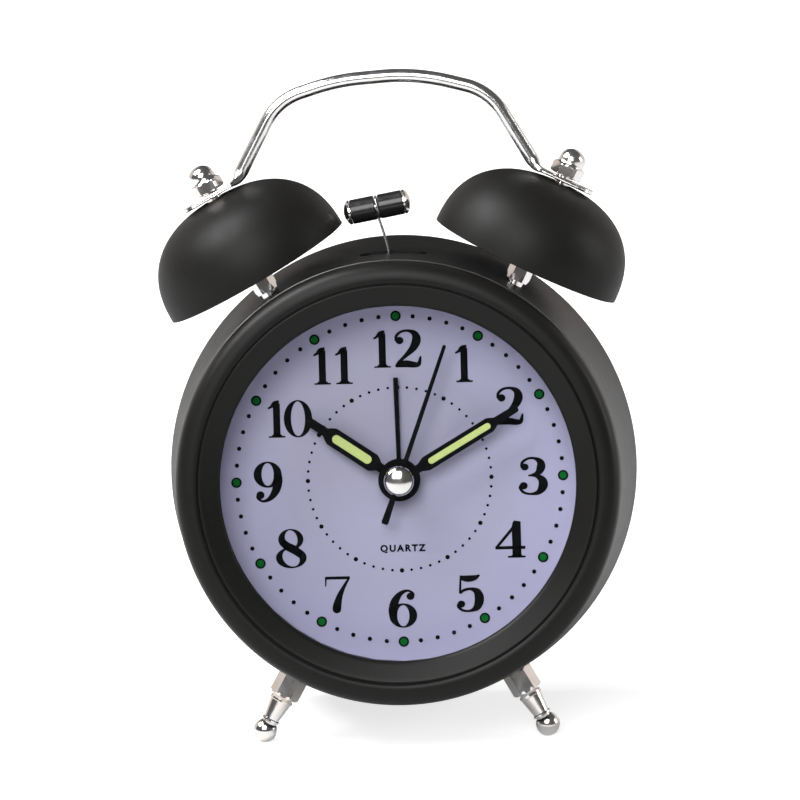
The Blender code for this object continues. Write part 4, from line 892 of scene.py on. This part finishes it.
def hexRound(flats, top, bottom, chamfer):
    # the smaller of a hexagon's radius and a cone that takes its corners off at both ends
    corner = flats / math.sqrt(3)
    slope = 1.9

    def shape(r, h, t):
        turn = np.mod(t, np.pi / 3) - np.pi / 6
        hexagon = flats / 2 / np.cos(turn)
        cone = corner - chamfer + slope * np.maximum(np.minimum(top - h, h - bottom), 0)
        return np.where(r == hexMark, np.minimum(hexagon, cone), r)

    return shape


post = {"flats": 4.0, "stud": 1.5, "seat": 0.6, "inside": 4.0, "chamfer": 0.25, "short": 0.5}
nut = {"flats": 5.5, "hex": 2.2, "height": 5.4, "dome": 2.5, "bore": 1.8, "chamfer": 0.42,
       "shoulder": 1.0}
plateThick = 0.9
nutSeat = crown + 2 * gap + plateThick


def makePost(side, word):
    top = crown - bell["wall"] - gap
    end = nutSeat + nut["hex"] - post["short"]
    profile = [(0, -post["inside"]), (post["stud"] - 0.2, -post["inside"]),
               (post["stud"], -post["inside"] + 0.2), (post["stud"], post["seat"]),
               *hexRows(post["seat"], top, 25), (post["stud"], top),
               (post["stud"], end), (0, end)]
    shape = hexRound(post["flats"], top, post["seat"], post["chamfer"])
    grid = skewed(turned(profile, postBase(side), postAxis(side), 96, shape))
    makePiece("bellPost" + word, gridPart(grid), chromeFinish, "clock", "bell_post_" + word.lower())


def makeNut(side, word):
    low, high = nutSeat, nutSeat + nut["hex"]
    t = np.linspace(0, np.pi / 2, 20)
    rise = nut["height"] - nut["hex"] - nut["shoulder"]
    dome = [(nut["dome"] * math.cos(a), high + nut["shoulder"] + rise * math.sin(a)) for a in t]
    profile = [(0, high - 0.1), (nut["bore"], high - 0.1), (nut["bore"], low),
               *hexRows(low, high, 13), (nut["dome"] + 0.1, high + 0.12), (nut["dome"], high + 0.3),
               (nut["dome"], high + 0.7), *dome]
    shape = hexRound(nut["flats"], high, low, nut["chamfer"])
    grid = skewed(turned(profile, postBase(side), postAxis(side), 96, shape))
    makePiece("acornNut" + word, gridPart(grid), chromeFinish, "clock", "acorn_nut_" + word.lower())


for side, label in ((-1, "Left"), (1, "Right")):
    makeBell(side, label)
    makePost(side, label)
    makeNut(side, label)
print("bells made")

# Handle: a wire whose ends are beaten flat

handle = {"wire": 1.3, "thick": plateThick / 2, "wide": 2.95, "outer": 6.1, "inner": 5.4,
          "taper": 1.6, "shoulderIn": 8.3, "shoulderRise": 14.75,
          "top": [(-8.6, 18.0), (6.3, 18.7)], "bends": [2.2, 11.0, 39.0, 39.0, 11.0, 2.2],
          "blend": 3.5, "square": 0.45, "hole": 1.8, "seam": 0.07, "seamWidth": 0.22, "step": 0.3}


def filletedPath(corners, radii, steps=14):
    # each corner gives way to an arc of its radius that touches both sides
    corners = np.asarray(corners, float)
    p, q, r = corners[:-2], corners[1:-1], corners[2:]
    inward = (p - q) / np.linalg.norm(p - q, axis=1)[:, None]
    onward = (r - q) / np.linalg.norm(r - q, axis=1)[:, None]
    half = np.arccos(np.clip((inward * onward).sum(axis=1), -1, 1)) / 2
    radii = np.asarray(radii, float)
    middle = (inward + onward) / np.linalg.norm(inward + onward, axis=1)[:, None]
    centre = q + middle * (radii / np.sin(half))[:, None]
    reach = (radii / np.tan(half))[:, None]
    start, end = q + inward * reach - centre, q + onward * reach - centre
    turn = (np.pi - 2 * half)[:, None, None]
    share = np.linspace(0, 1, steps)[None, :, None]
    arc = np.sin((1 - share) * turn) * start[:, None] + np.sin(share * turn) * end[:, None]
    arc = arc / np.sin(turn)
    return np.vstack([corners[:1], (centre[:, None] + arc).reshape(-1, 2), corners[-1:]])


def respaced(path, step):
    # the same line with points a fixed step apart along it
    gone = np.concatenate([[0], np.cumsum(np.linalg.norm(np.diff(path, axis=0), axis=1))])
    at = np.linspace(0, gone[-1], int(gone[-1] / step) + 1)
    return np.stack([np.interp(at, gone, path[:, k]) for k in range(path.shape[1])], axis=-1)


def makeHandle():
    height = crown + gap + plateThick / 2

    def onPost(side, across):
        point = postBase(side) + height * postAxis(side) + across * postOut(side)
        return point[[0, 2]]

    ends = {s: onPost(s, handle["outer"]) for s in (-1, 1)}
    bends = {s: onPost(s, -handle["inner"]) for s in (-1, 1)}
    shoulders = {s: bends[s] + [-s * handle["shoulderIn"], handle["shoulderRise"]] for s in (-1, 1)}
    top = [(x, bends[1][1] + rise) for x, rise in handle["top"]]
    corners = [ends[-1], bends[-1], shoulders[-1], *top, shoulders[1], bends[1], ends[1]]
    path = respaced(filletedPath(corners, handle["bends"]), handle["step"])
    normal = pathNormals(path)
    # distance outwards from the nearer stud, measured along its plate
    out = np.full(len(path), -99.0)
    for s in (-1, 1):
        here = (path - onPost(s, 0.0)) @ postOut(s)[[0, 2]]
        out = np.where(path[:, 0] * s > 0, here, out)
    ease = np.clip((handle["taper"] - handle["inner"] - out) / handle["blend"], 0, 1)
    ease = ease * ease * (3 - 2 * ease)  # 0 where it is plate, 1 where it is wire
    inset = np.clip(handle["wide"] - (handle["outer"] - out), 0, handle["wide"])
    wide = np.sqrt(np.maximum(handle["wide"] ** 2 - inset**2, 0.02))
    thick = handle["thick"] * (1 - ease) + handle["wire"] * ease
    wide = wide * (1 - ease) + handle["wire"] * ease
    t = np.linspace(0, 2 * np.pi, 40, endpoint=False)[None, :]
    power = (handle["square"] * (1 - ease) + 1.0 * ease)[:, None]
    u = np.sign(np.sin(t)) * np.abs(np.sin(t)) ** power
    v = np.sign(np.cos(t)) * np.abs(np.cos(t)) ** power
    # the flattened wire keeps a seam along its edges
    v = v * (1 - handle["seam"] * (1 - ease)[:, None] * np.exp(-((u / handle["seamWidth"]) ** 2)))
    flatGrid = path[:, None] + (thick[:, None] * u)[..., None] * normal[:, None]
    grid = np.stack([flatGrid[..., 0], headDepth + wide[:, None] * v, flatGrid[..., 1]], axis=-1)
    obj = makePiece("handle", gridPart(skewed(grid)), wireFinish, "clock", "handle",
                    sharp=45)
    hole = [(handle["hole"], -3), (handle["hole"], 3)]
    cutFrom(obj, [gridPart(skewed(turned(hole, postBase(s) + height * postAxis(s), postAxis(s),
                                         40)))
                  for s in (-1, 1)])


makeHandle()
print("handle made")

# Feet

foot = {"stud": 1.5, "inside": 4.0, "reach": 12.3, "flats": 5.0, "collar": 4.6, "wide": 2.2,
        "narrow": 1.4, "ball": 2.25, "chamfer": 0.35}


def makeFoot(side, word):
    base = float(caseRadius(footDepth))
    seat = float(caseRadius(footDepth + foot["flats"] / 2)) + gap
    end = seat + foot["collar"]
    centre = base + foot["reach"]
    start = math.asin(foot["narrow"] / foot["ball"])
    t = np.linspace(start, np.pi, 30)
    ballRows = np.stack([foot["ball"] * np.sin(t), centre - foot["ball"] * np.cos(t)], axis=-1)
    neck = ballRows[0, 1]
    cone = [(foot["wide"] - 0.45, end), (foot["wide"] - 0.3, end + 0.35), (foot["wide"], end + 0.6),
            (foot["wide"], end + 0.95), (foot["wide"] - 0.12, end + 1.1),
            (foot["narrow"] + 0.1, neck - 0.7), (foot["narrow"] + 0.35, neck - 0.55),
            (foot["narrow"] + 0.35, neck - 0.25), (foot["narrow"], neck - 0.1)]
    profile = [(0, base - foot["inside"]), (foot["stud"], base - foot["inside"]),
               (foot["stud"], seat), *hexRows(seat, end, 15), *cone, *ballRows.tolist()]
    shape = hexRound(foot["flats"], end, seat, foot["chamfer"])
    grid = turned(profile, (0, footDepth, 0), footAxis(side), 96, shape)
    makePiece("foot" + word, gridPart(grid), chromeFinish, "clock", "foot_" + word.lower(),
              sharp=28)


for side, label in ((-1, "Left"), (1, "Right")):
    makeFoot(side, label)
print("feet made")

# Hammer

hammer = {"pivotZ": float(caseRadius(headDepth)) - 9.6, "tilt": math.radians(10), "arm": 18.4,
          "radius": 2.3, "half": 6.35, "rod": 1.2, "wire": 0.25, "cap": 1.35, "wireStart": 4.3,
          "bow": 0.5, "pitch": 0.12}
hammerUp = np.array([-math.sin(hammer["tilt"]), 0, math.cos(hammer["tilt"])])
hammerRight = np.array([math.cos(hammer["tilt"]), 0, math.sin(hammer["tilt"])])
hammerCentre = np.array([0, headDepth, hammer["pivotZ"]]) + hammer["arm"] * hammerUp


def makeHammer():
    rod, r, half = hammer["rod"], hammer["radius"], hammer["half"]
    flange = half - hammer["cap"]
    end = [(rod, flange), (r - 0.1, flange), (r, flange + 0.1), (r, flange + 0.4),
           (r * 0.93, flange + 0.62), (r * 0.72, flange + 1.0), (r * 0.4, flange + 1.27),
           (r * 0.15, half), (0, half)]
    profile = [(a, -h) for a, h in reversed(end)] + end
    makePiece("hammerRod", gridPart(turned(profile, hammerCentre, hammerRight, 64)), chromeFinish,
              "hammer", "hammer_rod", sharp=30)
    inner = rod + 0.25
    for side, word in ((-1, "Left"), (1, "Right")):
        near, far = hammer["wire"] + 0.1, flange - 0.06
        ring = [(inner, near), (r - 0.15, near), (r, near + 0.15), (r, far - 0.15), (r - 0.15, far),
                (inner, far)]
        ring = np.array([(a, side * h) for a, h in ring])
        makePiece("hammerSleeve" + word, gridPart(turned(ring, hammerCentre, hammerRight, 64),
                                                  True),
                  sleeveFinish, "hammer", "hammer_sleeve_" + word.lower(),
                  sharp=40)
    # wire: up from the lever, bowed a little, then once round the middle of the rod
    loop = hammer["radius"] - 0.3
    turn = np.linspace(-np.pi / 2, 1.44 * np.pi, 60)[:, None]
    outward = np.array([0, 1.0, 0])
    coil = hammerCentre + loop * (np.cos(turn) * outward + np.sin(turn) * hammerUp)
    coil = coil + hammerRight * np.linspace(-hammer["pitch"], hammer["pitch"], 60)[:, None]
    share = np.linspace(0, 1, 30)[:, None]
    low = np.array([0, headDepth, hammer["pivotZ"]]) + hammer["wireStart"] * hammerUp
    bow = hammer["bow"] * np.sin(np.pi * share) * hammerRight
    path = np.vstack([(low + share * (coil[0] - low) + bow)[:-1], coil])
    along = np.gradient(path, axis=0)
    along /= np.linalg.norm(along, axis=1)[:, None]
    across = np.cross(along, hammerRight)
    across /= np.linalg.norm(across, axis=1)[:, None]
    other = np.cross(along, across)
    t = np.linspace(0, 2 * np.pi, 12, endpoint=False)[None, :, None]
    tube = path[:, None] + hammer["wire"] * (np.cos(t) * across[:, None]
                                             + np.sin(t) * other[:, None])
    makePiece("hammerWire", gridPart(tube), steelFinish, "hammer", "hammer_wire")


makeHammer()
print("hammer made")

# Back

back = {"radius": 40.3, "front": 29.3, "rear": 30.9, "doorHalf": 26.5, "doorLow": -27.15,
        "doorHigh": -12.05, "switchX": -14.0, "switchZ": 22.0, "slotHalf": (4.3, 1.8),
        "knobX": 16.0, "knobZ": 4.0, "knobHole": 1.8,
        "screws": [(-22.0, 12.0), (22.0, 12.0), (0.0, -32.3)],
        "screwHole": 1.3, "panel": (-6.0, 16.0, 25.5, 32.5), "rise": 0.4, "knobRib": 6.4,
        "rimRib": 38.6, "ribTop": 0.25, "ribFoot": 0.35}


def blockPart(x, z, halfX, halfZ, low, high):
    return plateParts(rectangle(x - halfX, x + halfX, z - halfZ, z + halfZ), low, high)


def makeBack():
    half, low, high, rear = (back[key] for key in ("doorHalf", "doorLow", "doorHigh", "rear"))
    x, z = back["switchX"], back["switchZ"]
    slotX, slotZ = back["slotHalf"]
    holes = [eased(rectangle(-half, half, low, high), 0.1, 3, True),
             rectangle(x - slotX, x + slotX, z - slotZ, z + slotZ)]
    holes += [circle(back["knobHole"], 32, (s * back["knobX"], back["knobZ"])) for s in (-1, 1)]
    holes += [circle(back["screwHole"], 24, c) for c in back["screws"]]
    cover = plateParts(circle(back["radius"], 160), back["front"], rear, holes)
    makePiece("backCover", cover, coverFinish, "clock", "back_cover", bevel=0.12)
    # low ribs moulded round the knobs and the rim
    ribs = []
    top, base = back["ribTop"], back["ribFoot"]
    for x, z, radius in ((back["knobX"], back["knobZ"], back["knobRib"]),
                         (-back["knobX"], back["knobZ"], back["knobRib"]), (0, 0, back["rimRib"])):
        rib = [(radius - base, -0.1), (radius - top, top), (radius + top, top),
               (radius + base, -0.1)]
        ribs.append(gridPart(turned(rib, (x, rear, z), (0, 1, 0), 128), wrapRows=True))
    makePiece("backRibs", together(ribs), coverFinish, "clock")
    # raised flat where a label goes
    panel = plateParts(eased(rectangle(*back["panel"]), 0.6, 5, True), rear - 0.1,
                       rear + back["rise"])
    makePiece("backPanel", panel, coverFinish, "clock", bevel=0.08)
    lid = rectangle(gap - half, half - gap, low + gap, high - gap)
    makePiece("batteryDoor", plateParts(eased(lid, 0.5, 4, True), back["front"], rear), coverFinish,
              "door", "battery_door", bevel=0.15)
    grip = []
    for k in range(3):
        top = high - 2.0 - 1.1 * k
        bar = rectangle(-5 + 0.5 * k, 5 - 0.5 * k, top - 0.5, top)
        grip.append(plateParts(bar, rear - 0.05, rear + 0.6))
    makePiece("batteryDoorGrip", together(grip), coverFinish, "door", bevel=0.1)


# each block: half its width, half its height, and the depths of its front and rear
switch = {"shift": -2.0, "blocks": [(6, 3, 28.0, 29.0), (2, 1.5, 28.9, 31.3), (3, 2.4, 31.2, 32.3)],
          "ridge": (0.25, 2.1, 32.2, 32.6), "ridges": (-2.0, -1.0, 0.0, 1.0, 2.0)}


def makeSwitch():
    x, z = back["switchX"] + switch["shift"], back["switchZ"]
    blocks = [blockPart(x, z, *block) for block in switch["blocks"]]
    ridges = [blockPart(x + across, z, *switch["ridge"]) for across in switch["ridges"]]
    makePiece("alarmSwitch", together(blocks), coverFinish, "switch", "alarm_switch",
              bevel=0.1)
    makePiece("alarmSwitchRidges", together(ridges), coverFinish, "switch", bevel=0.06)


knob = {"rise": 5.8, "cap": 1.3, "radius": 5.0, "bore": 1.8, "flutes": 28, "dip": 0.28}


def makeKnob(name, node, body, x):
    low, high = back["rear"] + gap, back["rear"] + knob["rise"]
    floor, wide, bore = high - knob["cap"], knob["radius"], knob["bore"]
    profile = [(0, floor), (bore, floor), (bore, low), (4.4, low), (4.8, low + 0.3),
               (wide, low + 0.7), *[(wide, h) for h in np.linspace(low + 1.0, high - 0.8, 6)],
               (4.75, high - 0.3), (4.4, high), (3.9, high), (3.6, high - 0.25), (0, high - 0.35)]

    def flutes(r, h, t):
        # shallow grooves round the grip: the radius dips once in each flute
        dip = knob["dip"] * (0.5 + 0.5 * np.cos(knob["flutes"] * t)) ** 2
        return np.where(r > 4.6, r - dip, r)

    grid = turned(profile, (x, 0, back["knobZ"]), (0, 1, 0), 224, flutes)
    makePiece(name, gridPart(grid), coverFinish, body, node, sharp=35)


screw = {"tip": 22.0, "crossHalf": (1.15, 0.22), "crossDepth": 0.55, "turns": (25, 115)}


def makeScrew(number, x, z):
    seat, tip = back["rear"] + gap, screw["tip"]
    profile = [(0, tip), (0.85, tip), (1.0, tip + 0.2), (1.0, seat), (1.9, seat),
               (2.0, seat + 0.15), (1.95, seat + 0.5), (1.6, seat + 0.85), (1.0, seat + 1.05),
               (0, seat + 1.1)]
    grid = turned(profile, (x, 0, z), (0, 1, 0), 64)
    obj = makePiece(f"backScrew{number}", gridPart(grid), steelFinish, "clock",
                    f"back_screw_{number}")
    long, narrow = screw["crossHalf"]
    slit = rectangle(-long, long, -narrow, narrow)
    cutFrom(obj, [plateParts(turnedOutline(slit, turn) + [x, z], seat + screw["crossDepth"],
                             seat + 2)
                  for turn in screw["turns"]])


makeBack()
makeSwitch()
makeKnob("timeSetKnob", "time_set_knob", "time_setting", back["knobX"])
makeKnob("alarmSetKnob", "alarm_set_knob", "alarm_setting", -back["knobX"])
for number, (x, z) in enumerate(back["screws"], 1):
    makeScrew(number, x, z)
print("back made")

# Floor, light and camera

studio = {"floor": 3.2, "floorColour": (0.6, 0.6, 0.6), "floorGlow": 0.75, "floorShine": 0.1,
          "world": 0.06, "worldShine": 0.09, "card": 1.35, "cardTop": 0.8,
          "cardTurns": [(-78, -12), (14, 78)], "cardColour": (1.0, 0.92, 0.86), "cardShine": 0.7}


def rayStrength(tree, plain, seen, shone):
    # how bright something is for ordinary rays, for the camera, and in metal or through glass
    rays = addNode(tree, "LightPath").outputs
    either = combined(tree, "MAXIMUM", rays["Is Glossy Ray"], rays["Is Transmission Ray"])
    direct = span(tree, rays["Is Camera Ray"], 0.0, seen - plain)
    return combined(tree, "ADD", span(tree, either, plain, shone), direct)


def blankMaterial(name):
    material = bpy.data.materials.new(name)
    material.use_nodes = True
    material.node_tree.nodes.clear()
    return material, material.node_tree


def joinShaders(tree, kind, *sources):
    # the sources go in by order, and what comes out is the surface
    node = addNode(tree, kind)
    for entry, source in zip(node.inputs, sources):
        tree.links.new(source, entry)
    addNode(tree, "OutputMaterial", Surface=node.outputs[0])


def stagePiece(name, grid, material):
    mesh = bpy.data.meshes.new(name)
    faces = gridFaces(*grid.shape[:2], False, False)
    mesh.from_pydata(grid.reshape(-1, 3).tolist(), [], faces.tolist())
    mesh.shade_smooth()
    mesh.materials.append(material)
    addObject(name, mesh)


def makeFloor():
    half = studio["floor"] / 2
    x, y = np.meshgrid([-half, half], [-half, half])
    # pale paint that also glows for what looks at it directly, in a mirror or through glass
    floorPaint, tree = blankMaterial("paleFloor")
    diffuse = addNode(tree, "BsdfDiffuse", Color=(*studio["floorColour"], 1))
    light = addNode(tree, "Emission",
                    Strength=rayStrength(tree, 0.0, studio["floorGlow"], studio["floorShine"]))
    joinShaders(tree, "AddShader", diffuse.outputs[0], light.outputs[0])
    stagePiece("floor", np.stack([x, y, 0 * x], axis=-1), floorPaint)


def makeCards():
    # curved white cards behind at both sides, there only for what shows in metal and lacquer
    cardPaint, tree = blankMaterial("shineCard")
    clear = addNode(tree, "BsdfTransparent")
    glow = addNode(tree, "Emission", Color=(*studio["cardColour"], 1), Strength=studio["cardShine"])
    rays = addNode(tree, "LightPath").outputs
    joinShaders(tree, "MixShader", rays["Is Glossy Ray"], clear.outputs[0], glow.outputs[0])
    for number, (first, last) in enumerate(studio["cardTurns"], 1):
        turn = np.radians(np.linspace(first, last, 25))
        edge = studio["card"] * np.stack([np.sin(turn), np.cos(turn), 0 * turn], axis=-1)
        stagePiece(f"shineCard{number}", np.stack([edge, edge + [0, 0, studio["cardTop"]]]),
                   cardPaint)


def makeWorld():
    world = bpy.data.worlds.new("studio")
    bpy.context.scene.world = world
    world.use_nodes = True
    background = world.node_tree.nodes["Background"]
    strength = rayStrength(world.node_tree, studio["world"], 1.0, studio["worldShine"])
    setInputs(background, Color=(1, 1, 1, 1), Strength=strength)


lamps = {
    "frontLamp": {"at": (-0.3, -1.55, 1.3), "size": 1.25, "power": 31.0},
    "topLamp": {"at": (-0.95, -0.05, 1.4), "size": 1.0, "power": 44.0},
    "rightLamp": {"at": (1.6, 0.2, 0.5), "size": 0.8, "power": 10.0},
}


def place(obj, at, axes):
    turn = Matrix(np.array(axes).T.tolist()).to_4x4()
    obj.matrix_world = Matrix.Translation(at) @ turn


def makeLamps():
    target = np.array([0, 0, 0.055])
    for name, look in lamps.items():
        data = bpy.data.lights.new(name, "AREA")
        data.shape, data.size, data.energy = "SQUARE", look["size"], look["power"]
        away = unit(np.array(look["at"]) - target)
        side = unit(np.cross([0, 0, 1], away))
        place(addObject(name, data), look["at"], [side, np.cross(away, side), away])


# the camera's place is given on the clock's own axes: its angle to the dial's normal, how far it
# is from the dial's middle, and how far it is shifted across its own view
viewpoint = {"azimuth": 1.769, "elevation": 4.012, "roll": -1.473, "distance": 1529.2,
             "right": 0.06, "up": 14.78, "lens": 367.5}


def makeCamera():
    az, el, roll = (math.radians(viewpoint[k]) for k in ("azimuth", "elevation", "roll"))
    away = np.array([math.sin(az) * math.cos(el), -math.cos(az) * math.cos(el), math.sin(el)])
    right = unit(np.cross([0, 0, 1], away))
    up = np.cross(away, right)
    c, s = math.cos(roll), math.sin(roll)
    right, up = c * right + s * up, c * up - s * right
    at = away * viewpoint["distance"] + right * viewpoint["right"] + up * viewpoint["up"]
    data = bpy.data.cameras.new("camera")
    data.lens = viewpoint["lens"]
    data.sensor_width = 36.0
    data.clip_start, data.clip_end = 0.05, 50.0
    camera = addObject("camera", data)
    place(camera, inWorld(at), [right @ clockAxes, up @ clockAxes, away @ clockAxes])
    bpy.context.scene.camera = camera


makeFloor()
makeCards()
makeWorld()
makeLamps()
makeCamera()
bpy.context.scene.view_settings.view_transform = "Standard"
print("studio made")

bpy.context.view_layer.update()
